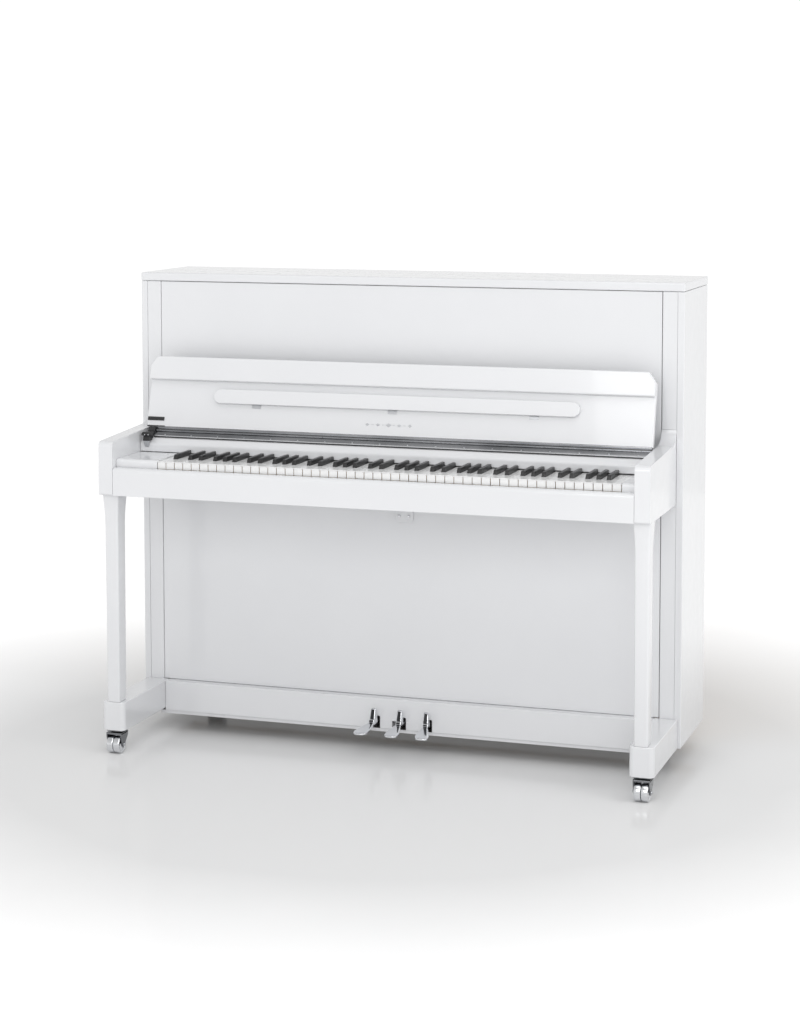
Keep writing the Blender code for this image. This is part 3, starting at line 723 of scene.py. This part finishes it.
def fallboard_fittings():
    """Ledge hinges, bumper plate and a plain lozenge inlay on the face."""
    edge = LEDGE_S - LEDGE_H
    leaves = bmesh.new()
    for x in (-0.378, 0.0, 0.378):
        add_prism(leaves, rounded(x - 0.0125, edge - 0.0095, x + 0.0125, edge - 0.0015, 0.0012),
                  on_face, 0.0002, 0.0011)
        add_turned(leaves, [(-0.0125, 0.0012), (0.0125, 0.0012)], on_face(x, edge - 0.0012, 0.0016),
                   (1, 0, 0), 12)
        for shift in (-0.008, 0.008):
            add_screw(leaves, on_face(x + shift, edge - 0.006, 0.0011),
                      on_face(0, 0, 1) - on_face(0, 0, 0), 0.0018)
    piece("ledge_hinges", leaves, "steel", "fallboard", sharp=40)
    end = -FALL_HALF + 0.0015
    prism("bumper_plate", "black_plastic", rounded(end, 0.0165, -0.638, 0.0262, 0.0012), on_face,
          CLEAR, 0.0024, "fallboard", bevel=0.0006)
    prism("damper_leaf", "black_plastic", rounded(end, 0.0004, -0.635, 0.0032, 0.0008), on_face,
          CLEAR, 0.0018, "fallboard", bevel=0.0004)
    bm = bmesh.new()
    middle, s = -0.008, 0.029
    for step in range(-2, 3):
        x = middle + 0.029 * step
        long, tall = (0.0085, 0.005) if step == 0 else (0.006, 0.0036)
        add_prism(bm, [(x - long, s), (x, s - tall), (x + long, s), (x, s + tall)], on_face, 0.0001, 0.0006)
        if step < 2:
            add_prism(bm, rounded(x + 0.011, s - 0.0006, x + 0.018, s + 0.0006, 0.0005), on_face,
                      0.0001, 0.0006)
    piece("lozenge_inlay", bm, "steel", "fallboard", sharp=40)


def fallboard_hinge():
    """Continuous hinge: knuckles by turns on the two leaves, and slotted screws along each."""
    x0, x1 = -0.656, 0.685
    count = 54
    step = (x1 - x0) / count
    fixed = bmesh.new()
    moving = bmesh.new()
    for i in range(count):
        start = x0 + i * step + 0.0002
        end = start + step - 0.0004
        r = 0.0035
        add_turned(moving if i % 2 else fixed,
                   [(start, r - 0.0004), (start + 0.0004, r), (end - 0.0004, r), (end, r - 0.0004)],
                   (0, HINGE_Y, HINGE_Z), (1, 0, 0), 20)
    foot = Vector((0, -0.1183, 0.8219))
    slope = (foot - Vector((0, -0.1118, 0.8268))).normalized()
    up = Vector((0, slope.z, -slope.y))
    root = Vector((0, -0.1045, 0.8323))
    leaf = [root + up * 0.0006, root - up * 0.0006, foot - up * 0.0002, foot + up * 0.0006,
            foot - slope * 0.0008 + up * 0.001]
    add_prism(fixed, [(p.y, p.z) for p in leaf], along_x, x0, x1)
    add_prism(moving, [(0.0014, 0.0003), (0.0014, 0.0012), (-0.001, 0.0016), (-0.006, -0.0002),
                       (-0.006, -0.0012), (-0.0008, 0.0003)],
              lambda a, b, c: on_face(c, a, b), x0, x1)
    screws = bmesh.new()
    for i in range(18):
        x = x0 + 0.03 + (x1 - x0 - 0.06) * i / 17
        add_screw(screws, foot - slope * 0.0062 + up * 0.0011 + Vector((x, 0, 0)), up, 0.0021)
    piece("fallboard_hinge_fixed", fixed, "hinge_chrome", stands_for=["fallboard_hinge"], sharp=40)
    piece("fallboard_hinge_moving", moving, "hinge_chrome", "fallboard", sharp=40)
    rim, gap_shadow = bmesh.new(), bmesh.new()
    above = [foot - slope * 0.0034 + up * 0.0011, foot - slope * 0.0004 + up * 0.0011,
             foot - slope * 0.0008 + up * 0.0017, foot - slope * 0.003 + up * 0.0017]
    # Black strip under the leaf's foot: painted shadow of the gap there
    below = [foot + slope * 0.0003 - up * 0.0009, foot + slope * 0.0022 - up * 0.0009,
             foot + slope * 0.0022 - up * 0.0002, foot + slope * 0.0003 - up * 0.0001]
    add_prism(rim, [(p.y, p.z) for p in above], along_x, x0, x1)
    add_prism(gap_shadow, [(p.y, p.z) for p in below], along_x, x0, x1)
    piece("fallboard_hinge_rim", rim, "chrome", sharp=40)
    piece("fallboard_hinge_gap_shadow", gap_shadow, "felt_black", sharp=40)
    piece("fallboard_hinge_screws", screws, "steel", sharp=40)


def fallboard_damper():
    """Soft-close damper: black housing under its cap, and a tapered grey tip on the slope."""
    low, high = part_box("fallboard_damper")
    split = 0.8125
    top = high.z - 0.0022
    outline = [(-0.1137, 0.8247), (-0.1297, 0.8126), (-0.1462, split), (-0.1465, 0.814),
               (-0.1402, 0.8268), (-0.1335, top - 0.0012), (-0.1325, top), (-0.1137, top)]
    prism("fallboard_damper", "black_plastic", outline, along_x, low.x, high.x, "case", OWN, 0.0012)
    cap = [(-0.138, 0.826), (-0.144, 0.826), (-0.144, 0.8305), (-0.1375, top), (-0.13, top)]
    prism("damper_cap", "black_plastic", cap, along_x, low.x - 0.005, high.x + 0.008, bevel=0.0014)
    turned("damper_barrel", "black_plastic",
           [(low.x, 0.0096), (low.x + 0.0008, 0.0104), (high.x - 0.0008, 0.0104), (high.x, 0.0096)],
           (0, HINGE_Y, HINGE_Z), (1, 0, 0), 32, "fallboard")
    x = (low.x + high.x) / 2
    bm = bmesh.new()
    add_loft(bm, [quad(x, 0.0078, -0.131, -0.1462, split - CLEAR), quad(x, 0.007, -0.1365, -0.1455, 0.806),
                  quad(x, 0.006, -0.138, -0.144, 0.801), quad(x, 0.0048, -0.1385, -0.142, low.z)])
    piece("damper_tip", bm, "steel", bevel=0.0008)
    bm = bmesh.new()
    for shift in (-0.005, 0.005):
        add_screw(bm, (x + shift, -0.1439, 0.8283), (0, -1, 0), 0.0016)
    piece("damper_screws", bm, "chrome", sharp=40)


fallboard()
fallboard_fittings()
fallboard_hinge()
fallboard_damper()


# ---- keys
def has_sharp(white):
    return white % 7 in (0, 2, 3, 5, 6) and white < KEYS_WHITE - 1


def sharp_centre(white):
    shift = {0: 0.003, 2: -0.003, 3: 0.003, 5: -0.0035, 6: 0.0}[white % 7]
    return KEY_X0 + (white + 1) * KEY_PITCH + shift


def natural_outline(white, front, back, inset):
    """Plan of one natural key, cut back beside its sharps with small round inner corners."""
    x0 = KEY_X0 + white * KEY_PITCH + KEY_GAP / 2 + inset
    x1 = KEY_X0 + (white + 1) * KEY_PITCH - KEY_GAP / 2 - inset
    left, right = x0, x1
    if white > 0 and has_sharp(white - 1):
        left = max(x0, sharp_centre(white - 1) + SHARP_W / 2 + 0.001 + inset)
    if has_sharp(white):
        right = min(x1, sharp_centre(white) - SHARP_W / 2 - 0.001 - inset)
    notch = SHOULDER - inset
    r = 0.0012
    outline = arc(x0 + r, front + r, r, 180, 270, 3) + arc(x1 - r, front + r, r, 270, 360, 3)
    if right < x1:
        outline += arc(x1 - r, notch - r, r, 0, 90, 3) + arc(right + r, notch + r, r, 270, 180, 3)
    outline += [(right, back), (left, back)]
    if left > x0:
        outline += arc(left - r, notch + r, r, 0, -90, 3) + arc(x0 + r, notch - r, r, 90, 180, 3)
    return outline


def add_natural(caps, sticks, white):
    add_prism(caps, natural_outline(white, KEY_FRONT, -0.125, 0.0), along_z, KEY_TOP - CAP_T, KEY_TOP)
    x0 = KEY_X0 + white * KEY_PITCH + KEY_GAP / 2 + 0.0005
    x1 = KEY_X0 + (white + 1) * KEY_PITCH - KEY_GAP / 2 - 0.0005
    under = KEY_TOP - CAP_T - 0.0001
    add_box(caps, (x0, KEY_FRONT + 0.001, KEY_BOT + 0.001), (x1, KEY_FRONT + 0.0024, under))
    outline = natural_outline(white, KEY_FRONT + 0.0026, KEY_BACK, 0.0006)
    add_prism(sticks, outline, along_z, KEY_BOT, under)


def add_sharp(caps, sticks, white):
    """Raised cap, narrower at the top and sloped at the front, on its stick."""
    cx = sharp_centre(white)
    half = SHARP_W / 2
    low = KEY_TOP - 0.0035
    add_loft(caps, [quad(cx, half, SHARP_FRONT, SHARP_BACK, low),
                    quad(cx, half - 0.0001, SHARP_FRONT + 0.0006, SHARP_BACK, KEY_TOP + 0.002),
                    quad(cx, half - 0.0006, SHARP_FRONT + 0.004, SHARP_BACK, SHARP_TOP - 0.0016),
                    quad(cx, half - 0.001, SHARP_FRONT + 0.0078, SHARP_BACK, SHARP_TOP)])
    add_box(sticks, (cx - half, SHARP_FRONT + 0.001, KEY_BOT), (cx + half, KEY_BACK, low - 0.0001))


def make_keys(name, whites, sharps):
    """One key, or a block of keys: name is both its CAD node and the body that it moves with."""
    caps, blacks, sticks = bmesh.new(), bmesh.new(), bmesh.new()
    for white in whites:
        add_natural(caps, sticks, white)
    for white in sharps:
        add_sharp(blacks, sticks, white)
    if whites:
        piece(name + "_covers", caps, "ivory_plastic", name, [name], 0.0006, 2)
    if sharps:
        piece(name + "_sharps", blacks, "ebony_plastic", name, () if whites else [name], 0.0011)
    piece(name + "_sticks", sticks, "maple_lengthwise", name, bevel=0.0005, segments=1)


octave = range(OCTAVE_FIRST, OCTAVE_FIRST + 7)
bass = range(OCTAVE_FIRST)
treble = range(OCTAVE_FIRST + 7, KEYS_WHITE)
make_keys("keys_bass", bass, [w for w in bass if has_sharp(w) and w + 1 in bass])
make_keys("keys_treble", treble, [w for w in treble if has_sharp(w)])
for white, letter in zip(octave, "cdefgab"):
    make_keys("key_" + letter, [white], [])
    if has_sharp(white):
        make_keys("key_" + letter + "_sharp", [], [white])


# ---- pedals
def soft_square(half_x, half_z, power, sides=24):
    """Superellipse, between an ellipse (power 1) and a square (power near 0)."""
    points = []
    for i in range(sides):
        turn = 2 * math.pi * i / sides
        c, s = math.cos(turn), math.sin(turn)
        points.append((half_x * math.copysign(abs(c) ** power, c),
                       half_z * math.copysign(abs(s) ** power, s)))
    return points


# Pedal from its back end to the pad: y, underside, top, half width, roundness
STATIONS = [(0.1128, 0.0975, 0.1045, 0.0054, 0.45), (0.112, 0.0962, 0.1058, 0.006, 0.35),
            (0.06, 0.0925, 0.1068, 0.006, 0.35), (0.035, 0.0892, 0.1073, 0.006, 0.35),
            (0.0285, 0.0895, 0.104, 0.006, 0.35), (0.0262, 0.0835, 0.0965, 0.006, 0.35),
            (0.0235, 0.0752, 0.088, 0.006, 0.35), (-0.029, 0.0737, 0.0865, 0.006, 0.35),
            (-0.034, 0.0736, 0.088, 0.006, 0.32), (-0.036, 0.0736, 0.096, 0.006, 0.3),
            (-0.0385, 0.0736, 0.1095, 0.0059, 0.28), (-0.0408, 0.0736, 0.1142, 0.006, 0.2),
            (-0.043, 0.0736, 0.1158, 0.006, 0.2), (-0.0455, 0.0736, 0.1163, 0.006, 0.2),
            (-0.048, 0.0736, 0.1152, 0.0061, 0.2), (-0.0505, 0.0736, 0.1118, 0.0062, 0.2),
            (-0.053, 0.0735, 0.104, 0.0064, 0.2), (-0.0555, 0.0735, 0.0957, 0.0066, 0.2),
            (-0.0572, 0.0735, 0.0897, 0.0068, 0.22), (-0.058, 0.0735, 0.0888, 0.007, 0.25),
            (-0.06, 0.0734, 0.0884, 0.0071, 0.25), (-0.0606, 0.0734, 0.0866, 0.0072, 0.28),
            (-0.0614, 0.0733, 0.0822, 0.0072, 0.4), (-0.0628, 0.0732, 0.0812, 0.0075, 0.55)]
# Foot pad: y, half width
PAD = [(-0.069, 0.0088), (-0.075, 0.0105), (-0.085, 0.0128), (-0.095, 0.015), (-0.103, 0.0166),
       (-0.11, 0.0178), (-0.12, 0.0186), (-0.126, 0.018), (-0.131, 0.0165), (-0.1345, 0.0145),
       (-0.137, 0.0112), (-0.1384, 0.0078), (-0.139, 0.004)]


def pedal(label):
    """Cast lever on its pivot; outside its notch it stands up in a hump over the broad foot pad."""
    x, lean = PEDAL_X[label], PEDAL_LEAN[label]
    stations = list(STATIONS)
    for y, half in PAD:
        top = 0.0812 - 0.12 * (-0.062 - y)
        thin = 0.004 * (1 - min(1.0, 0.35 + (y + 0.1392) / 0.01))
        stations.append((y, top - 0.008 + thin, top - thin, half, 0.5))
    rings = []
    for y, low, high, hx, power in stations:
        shift = lean * max(0.0, -0.045 - y)
        middle, hz = (low + high) / 2, (high - low) / 2
        rings.append([Vector((x + shift + a, y, middle + b)) for a, b in soft_square(hx, hz, power, 32)])
    bm = bmesh.new()
    add_loft(bm, rings)
    body = "pedal_" + label
    piece(body, bm, "chrome", body, OWN, sharp=50)
    bm = bmesh.new()
    # Dark bands on the hump's front slope and at its crease: painted dark reflection on the chrome
    front, back = Vector((0, -0.001, 0.0002)), Vector((0, 0.0006, 0))
    for low, high, half in (((-0.0573, 0.0898), (-0.05, 0.1132), 0.0052),
                            ((-0.0613, 0.0826), (-0.0605, 0.0872), 0.006)):
        shift = lean * (-0.045 - (low[0] + high[0]) / 2)
        foot, head = Vector((x + shift, *low)), Vector((x + shift, *high))
        rings = []
        for wide in (Vector((-half, 0, 0)), Vector((half, 0, 0))):
            rings.append([foot + back + wide, foot + front + wide,
                          head + front + wide * 0.8, head + back + wide * 0.8])
        add_loft(bm, rings)
    piece("pedal_painted_reflection_" + label, bm, "painted_dark_reflection", body, bevel=0.0005)
    turned("pedal_pin_" + label, "steel",
           [(-0.0145, 0.003), (-0.014, 0.0036), (0.014, 0.0036), (0.0145, 0.003)],
           (x, PIVOT_Y, PIVOT_Z), (1, 0, 0), 16, body)


def rod(label):
    """Turned wooden rod up to the action, with a felt pad on its end."""
    body = "pedal_rod_" + label
    low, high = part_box(body)
    middle = (low + high) / 2
    r = 0.0049
    foot, head = low.z + 0.0003, high.z - 0.0035
    groove = r - 0.0005
    profile = [(foot, r - 0.0016), (foot + 0.0015, r),
               (foot + 0.02, r), (foot + 0.0205, groove), (foot + 0.0225, groove), (foot + 0.023, r),
               (head - 0.023, r), (head - 0.0225, groove), (head - 0.0205, groove), (head - 0.02, r),
               (head, r)]
    place = (middle.x, middle.y, 0)
    turned(body, "maple_upright", profile, place, (0, 0, 1), 20, body, OWN)
    turned("rod_felt_" + label, "felt_red",
           [(head + 0.0001, r), (high.z - 0.0008, r), (high.z, r - 0.0012)], place, (0, 0, 1), 20, body)


for label in PEDAL_X:
    pedal(label)
    rod(label)


# ---- casters
def caster(label):
    """Fixed plate, swivelling fork, and a pair of wheels close together on their axle."""
    low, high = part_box("caster_frame_" + label)
    x = (low.x + high.x) / 2
    y = high.y - 0.0235
    wy = y - CASTER_TRAIL
    top = high.z
    plate_low = top - 0.0026
    bm = bmesh.new()
    half = 0.024
    add_prism(bm, rounded(x - half, y - half, x + half, y + half, 0.006), along_z, plate_low, top + 0.0002)
    for dx in (-0.0185, 0.0185):
        for dy in (-0.0185, 0.0185):
            add_screw(bm, (x + dx, y + dy, plate_low), (0, 0, -1), 0.003)
    piece("caster_plate_" + label, bm, "hinge_chrome", bevel=0.0006)
    body = "caster_" + label
    turned("caster_race_" + label, "black_plastic",
           [(CLEAR, 0.015), (0.0008, 0.017), (0.0024, 0.0172), (0.0034, 0.016)],
           (x, y, plate_low), (0, 0, -1), 40, body)
    bm = bmesh.new()
    saddle = plate_low - 0.0036
    add_prism(bm, rounded(wy - 0.015, saddle - 0.0052, y + 0.015, saddle, 0.0016), along_x,
              x - 0.0217, x + 0.0217)
    cheek = arc(wy, WHEEL_R, 0.0078, 180, 360, 12)
    cheek += [(y + 0.0148, saddle - 0.012), (y + 0.0148, saddle - 0.001), (wy - 0.0148, saddle - 0.001),
              (wy - 0.0148, saddle - 0.01)]
    for sign in (-1, 1):
        x0, x1 = span(sign, 0.0189, 0.0217)
        add_prism(bm, cheek, along_x, x + x0, x + x1)
    piece("caster_frame_" + label, bm, "hinge_chrome", body, OWN, 0.0007, sharp=25)
    body = "wheels_" + label
    bm = bmesh.new()
    profile = [(0.0005, 0.005), (0.0005, 0.0205), (0.0009, 0.0222), (0.002, WHEEL_R - 0.0002),
               (0.0034, WHEEL_R), (0.015, WHEEL_R), (0.0164, WHEEL_R - 0.0002), (0.0176, 0.0222),
               (0.018, 0.0205), (0.0177, 0.018), (0.0166, 0.0168), (0.0162, 0.011), (0.0172, 0.0095),
               (0.0181, 0.0082), (0.0184, 0.006), (0.0184, 0.0042)]
    for sign in (-1, 1):
        add_turned(bm, profile, (x, wy, WHEEL_R), (sign, 0, 0), 56)
    piece("caster_wheels_" + label, bm, "chrome", body, OWN, sharp=38)
    knob = [(0.0218, 0.0026), (0.022, 0.004), (0.024, 0.004), (0.0248, 0.0034), (0.0252, 0.0022)]
    turned("caster_axle_" + label, "steel", [(-d, r) for d, r in reversed(knob)] + knob,
           (x, wy, WHEEL_R), (1, 0, 0), 24, body)


for label in ("front_left", "front_right", "rear_left", "rear_right"):
    caster(label)


# ---- back
POSTS = (-0.7012, -0.35, 0.0, 0.35, 0.7012)
HALVES = (0.025, 0.035, 0.035, 0.035, 0.025)
BAY_LOW, BAY_HIGH = 0.17, 1.12


def back():
    """Beams, posts, pin block, grip rails, soundboard and its ribs."""
    low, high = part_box("back_frame")
    front = 0.2155
    board("back_beam_bottom", "spruce_across", (low.x, front, low.z), (high.x, high.y, BAY_LOW), 0.003,
          stands_for=["back_frame"])
    board("back_beam_top", "spruce_across", (low.x, front, BAY_HIGH), (high.x, high.y, high.z), 0.003)
    layers = 5
    thick = (front - low.y) / layers
    bm = bmesh.new()
    for i in range(layers):
        add_box(bm, (low.x, low.y + i * thick + 0.0001, BAY_HIGH),
                (high.x, low.y + (i + 1) * thick - 0.0001, high.z))
    piece("pin_block", bm, "maple_across", bevel=0.0004, segments=1)
    for i, (x, half) in enumerate(zip(POSTS, HALVES)):
        board("back_post_%d" % (i + 1), "spruce_upright", (x - half, front, BAY_LOW + 0.0002),
              (x + half, high.y - 0.0015, BAY_HIGH - 0.0002), 0.0045)
    for name, i in (("left", 0), ("right", 3)):
        prism("grip_rail_" + name, "maple_across", rounded(0.262, 0.96, high.y - 0.003, 1.0, 0.012),
              along_x, POSTS[i] + HALVES[i] + CLEAR, POSTS[i + 1] - HALVES[i + 1] - CLEAR, sharp=40)
    low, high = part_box("soundboard")
    face = low.y + 0.009
    board("soundboard", "spruce_soundboard", low, (high.x, face, high.z), 0.001, stands_for=OWN)
    bm = bmesh.new()
    pitch = math.radians(50)
    run = Vector((math.cos(pitch), 0, math.sin(pitch)))
    across = Vector((-run.z, 0, run.x))
    for i in range(11):
        middle = Vector((-0.8 + 0.16 * i, 0, 0.61))
        start = max((-0.69 - middle.x) / run.x, -0.47 / run.z)
        end = min((0.69 - middle.x) / run.x, 0.47 / run.z)
        rings = []
        for along, deep, half in (
                (start, 0.0015, 0.007), (start + 0.05, 0.006, 0.01), (start + 0.075, 0.0072, 0.011),
                (end - 0.075, 0.0072, 0.011), (end - 0.05, 0.006, 0.01), (end, 0.0015, 0.007)):
            point = middle + run * along
            ring = [(-half, 0.0001), (half, 0.0001), (half - 0.001, deep), (-half + 0.001, deep)]
            rings.append([point + across * a + Vector((0, face + b, 0)) for a, b in ring])
        add_loft(bm, rings)
    piece("soundboard_ribs", bm, "spruce_rib", bevel=0.0012)


def string_foot(x):
    """Height of the strings' lower end under x."""
    return 0.235 + 0.7 * max(0.0, (x + 0.62) / 1.26) ** 1.6


NOTES = 88
WOUND = 30
NOTE_X0 = KEY_X0 + 0.01
NOTE_X1 = TREBLE_HIGH.x - 0.012


def note_x(i):
    return NOTE_X0 + (NOTE_X1 - NOTE_X0) * i / (NOTES - 1)


def string_area():
    """Iron plate with its pins, and one, two or three strings a note."""
    keep("iron_plate", "cast_iron", 0.004)
    low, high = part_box("string_set")
    plain, wound, pins = bmesh.new(), bmesh.new(), bmesh.new()
    y = low.y + 0.0025
    bar_z = high.z - 0.006
    for i in range(NOTES):
        x = -0.612 + 1.244 * i / (NOTES - 1)
        count = 1 if i < 10 else 2 if i < WOUND else 3
        for k in range(count):
            shift = 0.0034 * (k - (count - 1) / 2)
            foot = (x + shift, y, string_foot(x) - 0.005)
            head = (x + shift, y, bar_z)
            row = 1.174 + 0.016 * k + 0.004 * (i % 2)
            if i < WOUND:
                add_tube(wound, [foot, head], 0.0016 - 0.00003 * i, 8)
            else:
                add_tube(plain, [foot, head], 0.0005, 5)
            add_tube(plain, [head, (x + shift, 0.156, row)], 0.0005, 5)
            add_turned(pins, [(0.0, 0.0034), (0.024, 0.0034), (0.0245, 0.0028), (0.029, 0.0024)],
                       (x + shift, 0.1688, row), (0, -1, -0.05), 10)
    piece("strings_plain", plain, "steel", stands_for=["string_set"], sharp=60)
    piece("strings_wound", wound, "wound_copper", sharp=60)
    piece("tuning_pins", pins, "steel", sharp=40)


def string_ends():
    """Pressure bar with its screws, the bridge, and the bolts of the plate."""
    low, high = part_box("string_set")
    bm = bmesh.new()
    add_prism(bm, rounded(low.y, 1.145, high.y, high.z, 0.0025), along_x, low.x, high.x)
    for i in range(12):
        x = low.x + 0.04 + (high.x - low.x - 0.08) * i / 11
        add_turned(bm, [(0.0, 0.005), (0.0012, 0.005), (0.0022, 0.0036), (0.0026, 0.0014)],
                   (x, low.y + 0.0002, 1.151), (0, -1, 0), 16)
    piece("pressure_bar", bm, "brass", sharp=35)
    steps = 60
    rings = []
    for i in range(steps + 1):
        x = -0.63 + 1.276 * i / steps
        z = string_foot(x)
        front, back = low.y + CLEAR, high.y - 0.0004
        ring = [(front, z - 0.012), (back, z - 0.012), (back, z), (front, z)]
        rings.append([Vector((x, a, b)) for a, b in ring])
    bm = bmesh.new()
    add_loft(bm, rings)
    piece("string_bridge", bm, "maple_across", bevel=0.0008, sharp=50)
    bolts = bmesh.new()
    head = [(0.0, 0.011), (0.0015, 0.011), (0.0015, 0.0075), (0.0055, 0.0072), (0.0062, 0.006)]
    for x, z in [(sx * 0.69, z) for sx in (-1, 1) for z in (0.21, 0.5, 0.8, 1.08)] + [
            (x, 1.208) for x in (-0.66, -0.28, 0.068, 0.418, 0.675)]:
        add_turned(bolts, head, (x, 0.1689, z), (0, -1, 0), 6)
    piece("plate_bolts", bolts, "steel", sharp=25)


# ---- action
def action_frame():
    prism("action_rail", "maple_across", rounded(0.072, 0.865, 0.09, 0.887, 0.003), along_x,
          -0.63, 0.67, "case", ["action_frame"], sharp=35)
    bracket = [(0.066, 0.7222), (0.086, 0.7222), (0.085, 0.73), (0.079, 0.736), (0.08, 0.86),
               (0.088, 0.89), (0.083, 0.95), (0.08, 1.0), (0.0745, 1.003), (0.07, 1.0),
               (0.068, 0.92), (0.065, 0.88), (0.069, 0.85), (0.072, 0.736), (0.0665, 0.73)]
    bm = bmesh.new()
    for x in (-0.62, -0.23, 0.19, 0.66):
        add_prism(bm, bracket, along_x, x - 0.0055, x + 0.0055)
    piece("action_brackets", bm, "cast_iron", bevel=0.0012)


def hammers_and_dampers():
    shanks, heads, cores = bmesh.new(), bmesh.new(), bmesh.new()
    blocks, pads = bmesh.new(), bmesh.new()
    add_prism(shanks, rounded(0.093, 0.892, 0.107, 0.902, 0.003), along_x, -0.6, 0.655)
    add_prism(blocks, rounded(0.118, 0.874, 0.13, 0.884, 0.0025), along_x, -0.6, 0.655)
    for i in range(NOTES):
        x = note_x(i)
        size = 1.0 - 0.25 * i / (NOTES - 1)
        half = 0.0044 * size + 0.0008
        add_tube(shanks, [(x, 0.1, 0.896), (x, 0.0985, 1.008)], 0.0026, 8)
        add_prism(cores, [(0.082, 1.0125), (0.1, 1.01), (0.106, 1.015), (0.1, 1.02), (0.082, 1.0215)],
                  along_x, x - half + 0.0007, x + half - 0.0007)
        grow = 0.009 * size
        outline = [(0.09, 1.0225), (0.09, 1.0105)] + arc(0.118 - grow, 1.0168, grow, -80, 80, 10)
        add_prism(heads, outline, along_x, x - half, x + half)
        if i < 70:
            add_prism(blocks, [(0.1228, 0.884), (0.125, 0.884), (0.1285, 0.93), (0.144, 0.933),
                               (0.144, 0.961), (0.133, 0.958), (0.1265, 0.938)],
                      along_x, x - 0.0028, x + 0.0028)
            add_prism(pads, [(0.1441, 0.931), (0.15, 0.929), (0.1568, 0.9305), (0.1568, 0.964),
                             (0.15, 0.9652), (0.1441, 0.963)], along_x, x - 0.0033, x + 0.0033)
    piece("hammer_shanks", shanks, "maple_upright", "hammer_set", sharp=40)
    piece("hammer_cores", cores, "maple_lengthwise", "hammer_set", bevel=0.0005, segments=1)
    piece("hammer_heads", heads, "felt", "hammer_set", ["hammer_set"], 0.0007, 2)
    piece("damper_blocks", blocks, "maple_upright", "damper_set", bevel=0.0004, segments=1)
    piece("damper_pads", pads, "felt", "damper_set", ["damper_set"], 0.0006, 2)


def muffler():
    """Rail with a row of felt strips, their ends a little uneven."""
    low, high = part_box("muffler_rail")
    board("muffler_rail", "maple_across", (low.x, low.y, high.z - 0.014), high, 0.001,
          "muffler_rail", OWN)
    bm = bmesh.new()
    strips = 44
    wide = (high.x - low.x) / strips
    for i in range(strips):
        x = low.x + i * wide
        drop = 0.0006 * math.sin(i * 2.4)
        add_box(bm, (x + 0.0003, low.y + 0.0012, low.z + 0.001 + drop),
                (x + wide - 0.0003, low.y + 0.0036, high.z - 0.0142))
    piece("muffler_felt", bm, "felt_red", "muffler_rail", bevel=0.0006, segments=2)


back()
string_area()
string_ends()
action_frame()
hammers_and_dampers()
muffler()


# ---- studio
SKY_SEEN = 1.05
SKY_LOW = 0.92
SKY_HIGH = 0.59
SKY_RISE = 0.8
SUNS = (("key_sun", (0.25, -0.6, 1.5), 50, 0.52),)
BOXES = (("front_box", (1.0, -4.8, 2.6), (0.0, 0.0, 0.9), (3.5, 2.2), 62.0),
         ("right_box", (4.5, -1.0, 2.6), (0.5, 0.0, 0.9), (2.0, 2.0), 32.0))


def camera():
    data = bpy.data.cameras.new("camera")
    data.lens = 78.946
    data.sensor_width = 36.0
    data.shift_x = -0.01557
    data.shift_y = -0.18
    data.clip_end = 100.0
    obj = new_object("camera", data)
    obj.location = (1.84184, -5.5146, 1.60456)
    obj.rotation_euler = Euler((math.pi / 2 - 0.08294, 0.0, 0.31624), "XYZ")
    bpy.context.scene.camera = obj


def put_light(data, power, towards):
    """Add a light that shines from the direction of towards; a sun's own place has no effect."""
    data.energy = power
    obj = new_object(data.name, data)
    obj.rotation_euler = Vector(towards).to_track_quat("Z", "Y").to_euler()
    return obj


def soft_sun(name, direction, width, strength):
    """Even light from a wide source: direction points from the piano towards it."""
    data = bpy.data.lights.new(name, "SUN")
    data.angle = math.radians(width)
    put_light(data, strength, direction)


def soft_box(name, place, target, size, power):
    data = bpy.data.lights.new(name, "AREA")
    data.shape = "RECTANGLE"
    data.size, data.size_y = size
    put_light(data, power, Vector(place) - Vector(target)).location = place


def surround():
    """Pale surround: even where it is seen, and brighter overhead as a light."""
    world = bpy.data.worlds.new("surround")
    world.use_nodes = True
    bpy.context.scene.world = world
    tree = world.node_tree
    shade = tree.nodes["Background"]
    shade.inputs["Color"].default_value = (1.0, 1.0, 1.0, 1.0)
    place = tree.nodes.new("ShaderNodeTexCoord")
    height = tree.nodes.new("ShaderNodeSeparateXYZ")
    tree.links.new(place.outputs["Generated"], height.inputs[0])
    light = tree.nodes.new("ShaderNodeMapRange")
    for key, number in (("From Max", SKY_RISE), ("To Min", SKY_LOW), ("To Max", SKY_HIGH)):
        light.inputs[key].default_value = number
    tree.links.new(height.outputs["Z"], light.inputs["Value"])
    path = tree.nodes.new("ShaderNodeLightPath")
    level = tree.nodes.new("ShaderNodeMapRange")
    level.inputs["To Max"].default_value = SKY_SEEN
    tree.links.new(path.outputs["Is Camera Ray"], level.inputs["Value"])
    tree.links.new(light.outputs[0], level.inputs["To Min"])
    tree.links.new(level.outputs[0], shade.inputs["Strength"])


def studio():
    """Pale floor, the surround and the soft suns."""
    bm = bmesh.new()
    reach = 4.5
    add_box(bm, (-reach, -reach, -0.02), (reach, reach, 0.0))
    mesh = to_mesh(bm, "studio_floor")
    mesh.materials.append(finish_named("studio_floor"))
    floor = new_object("studio_floor", mesh)
    surround()
    for name, direction, width, strength in SUNS:
        soft_sun(name, direction, width, strength)
    for name, place, target, size, power in BOXES:
        soft_box(name, place, target, size, power)
    bpy.context.scene.view_settings.view_transform = "Standard"


camera()
studio()
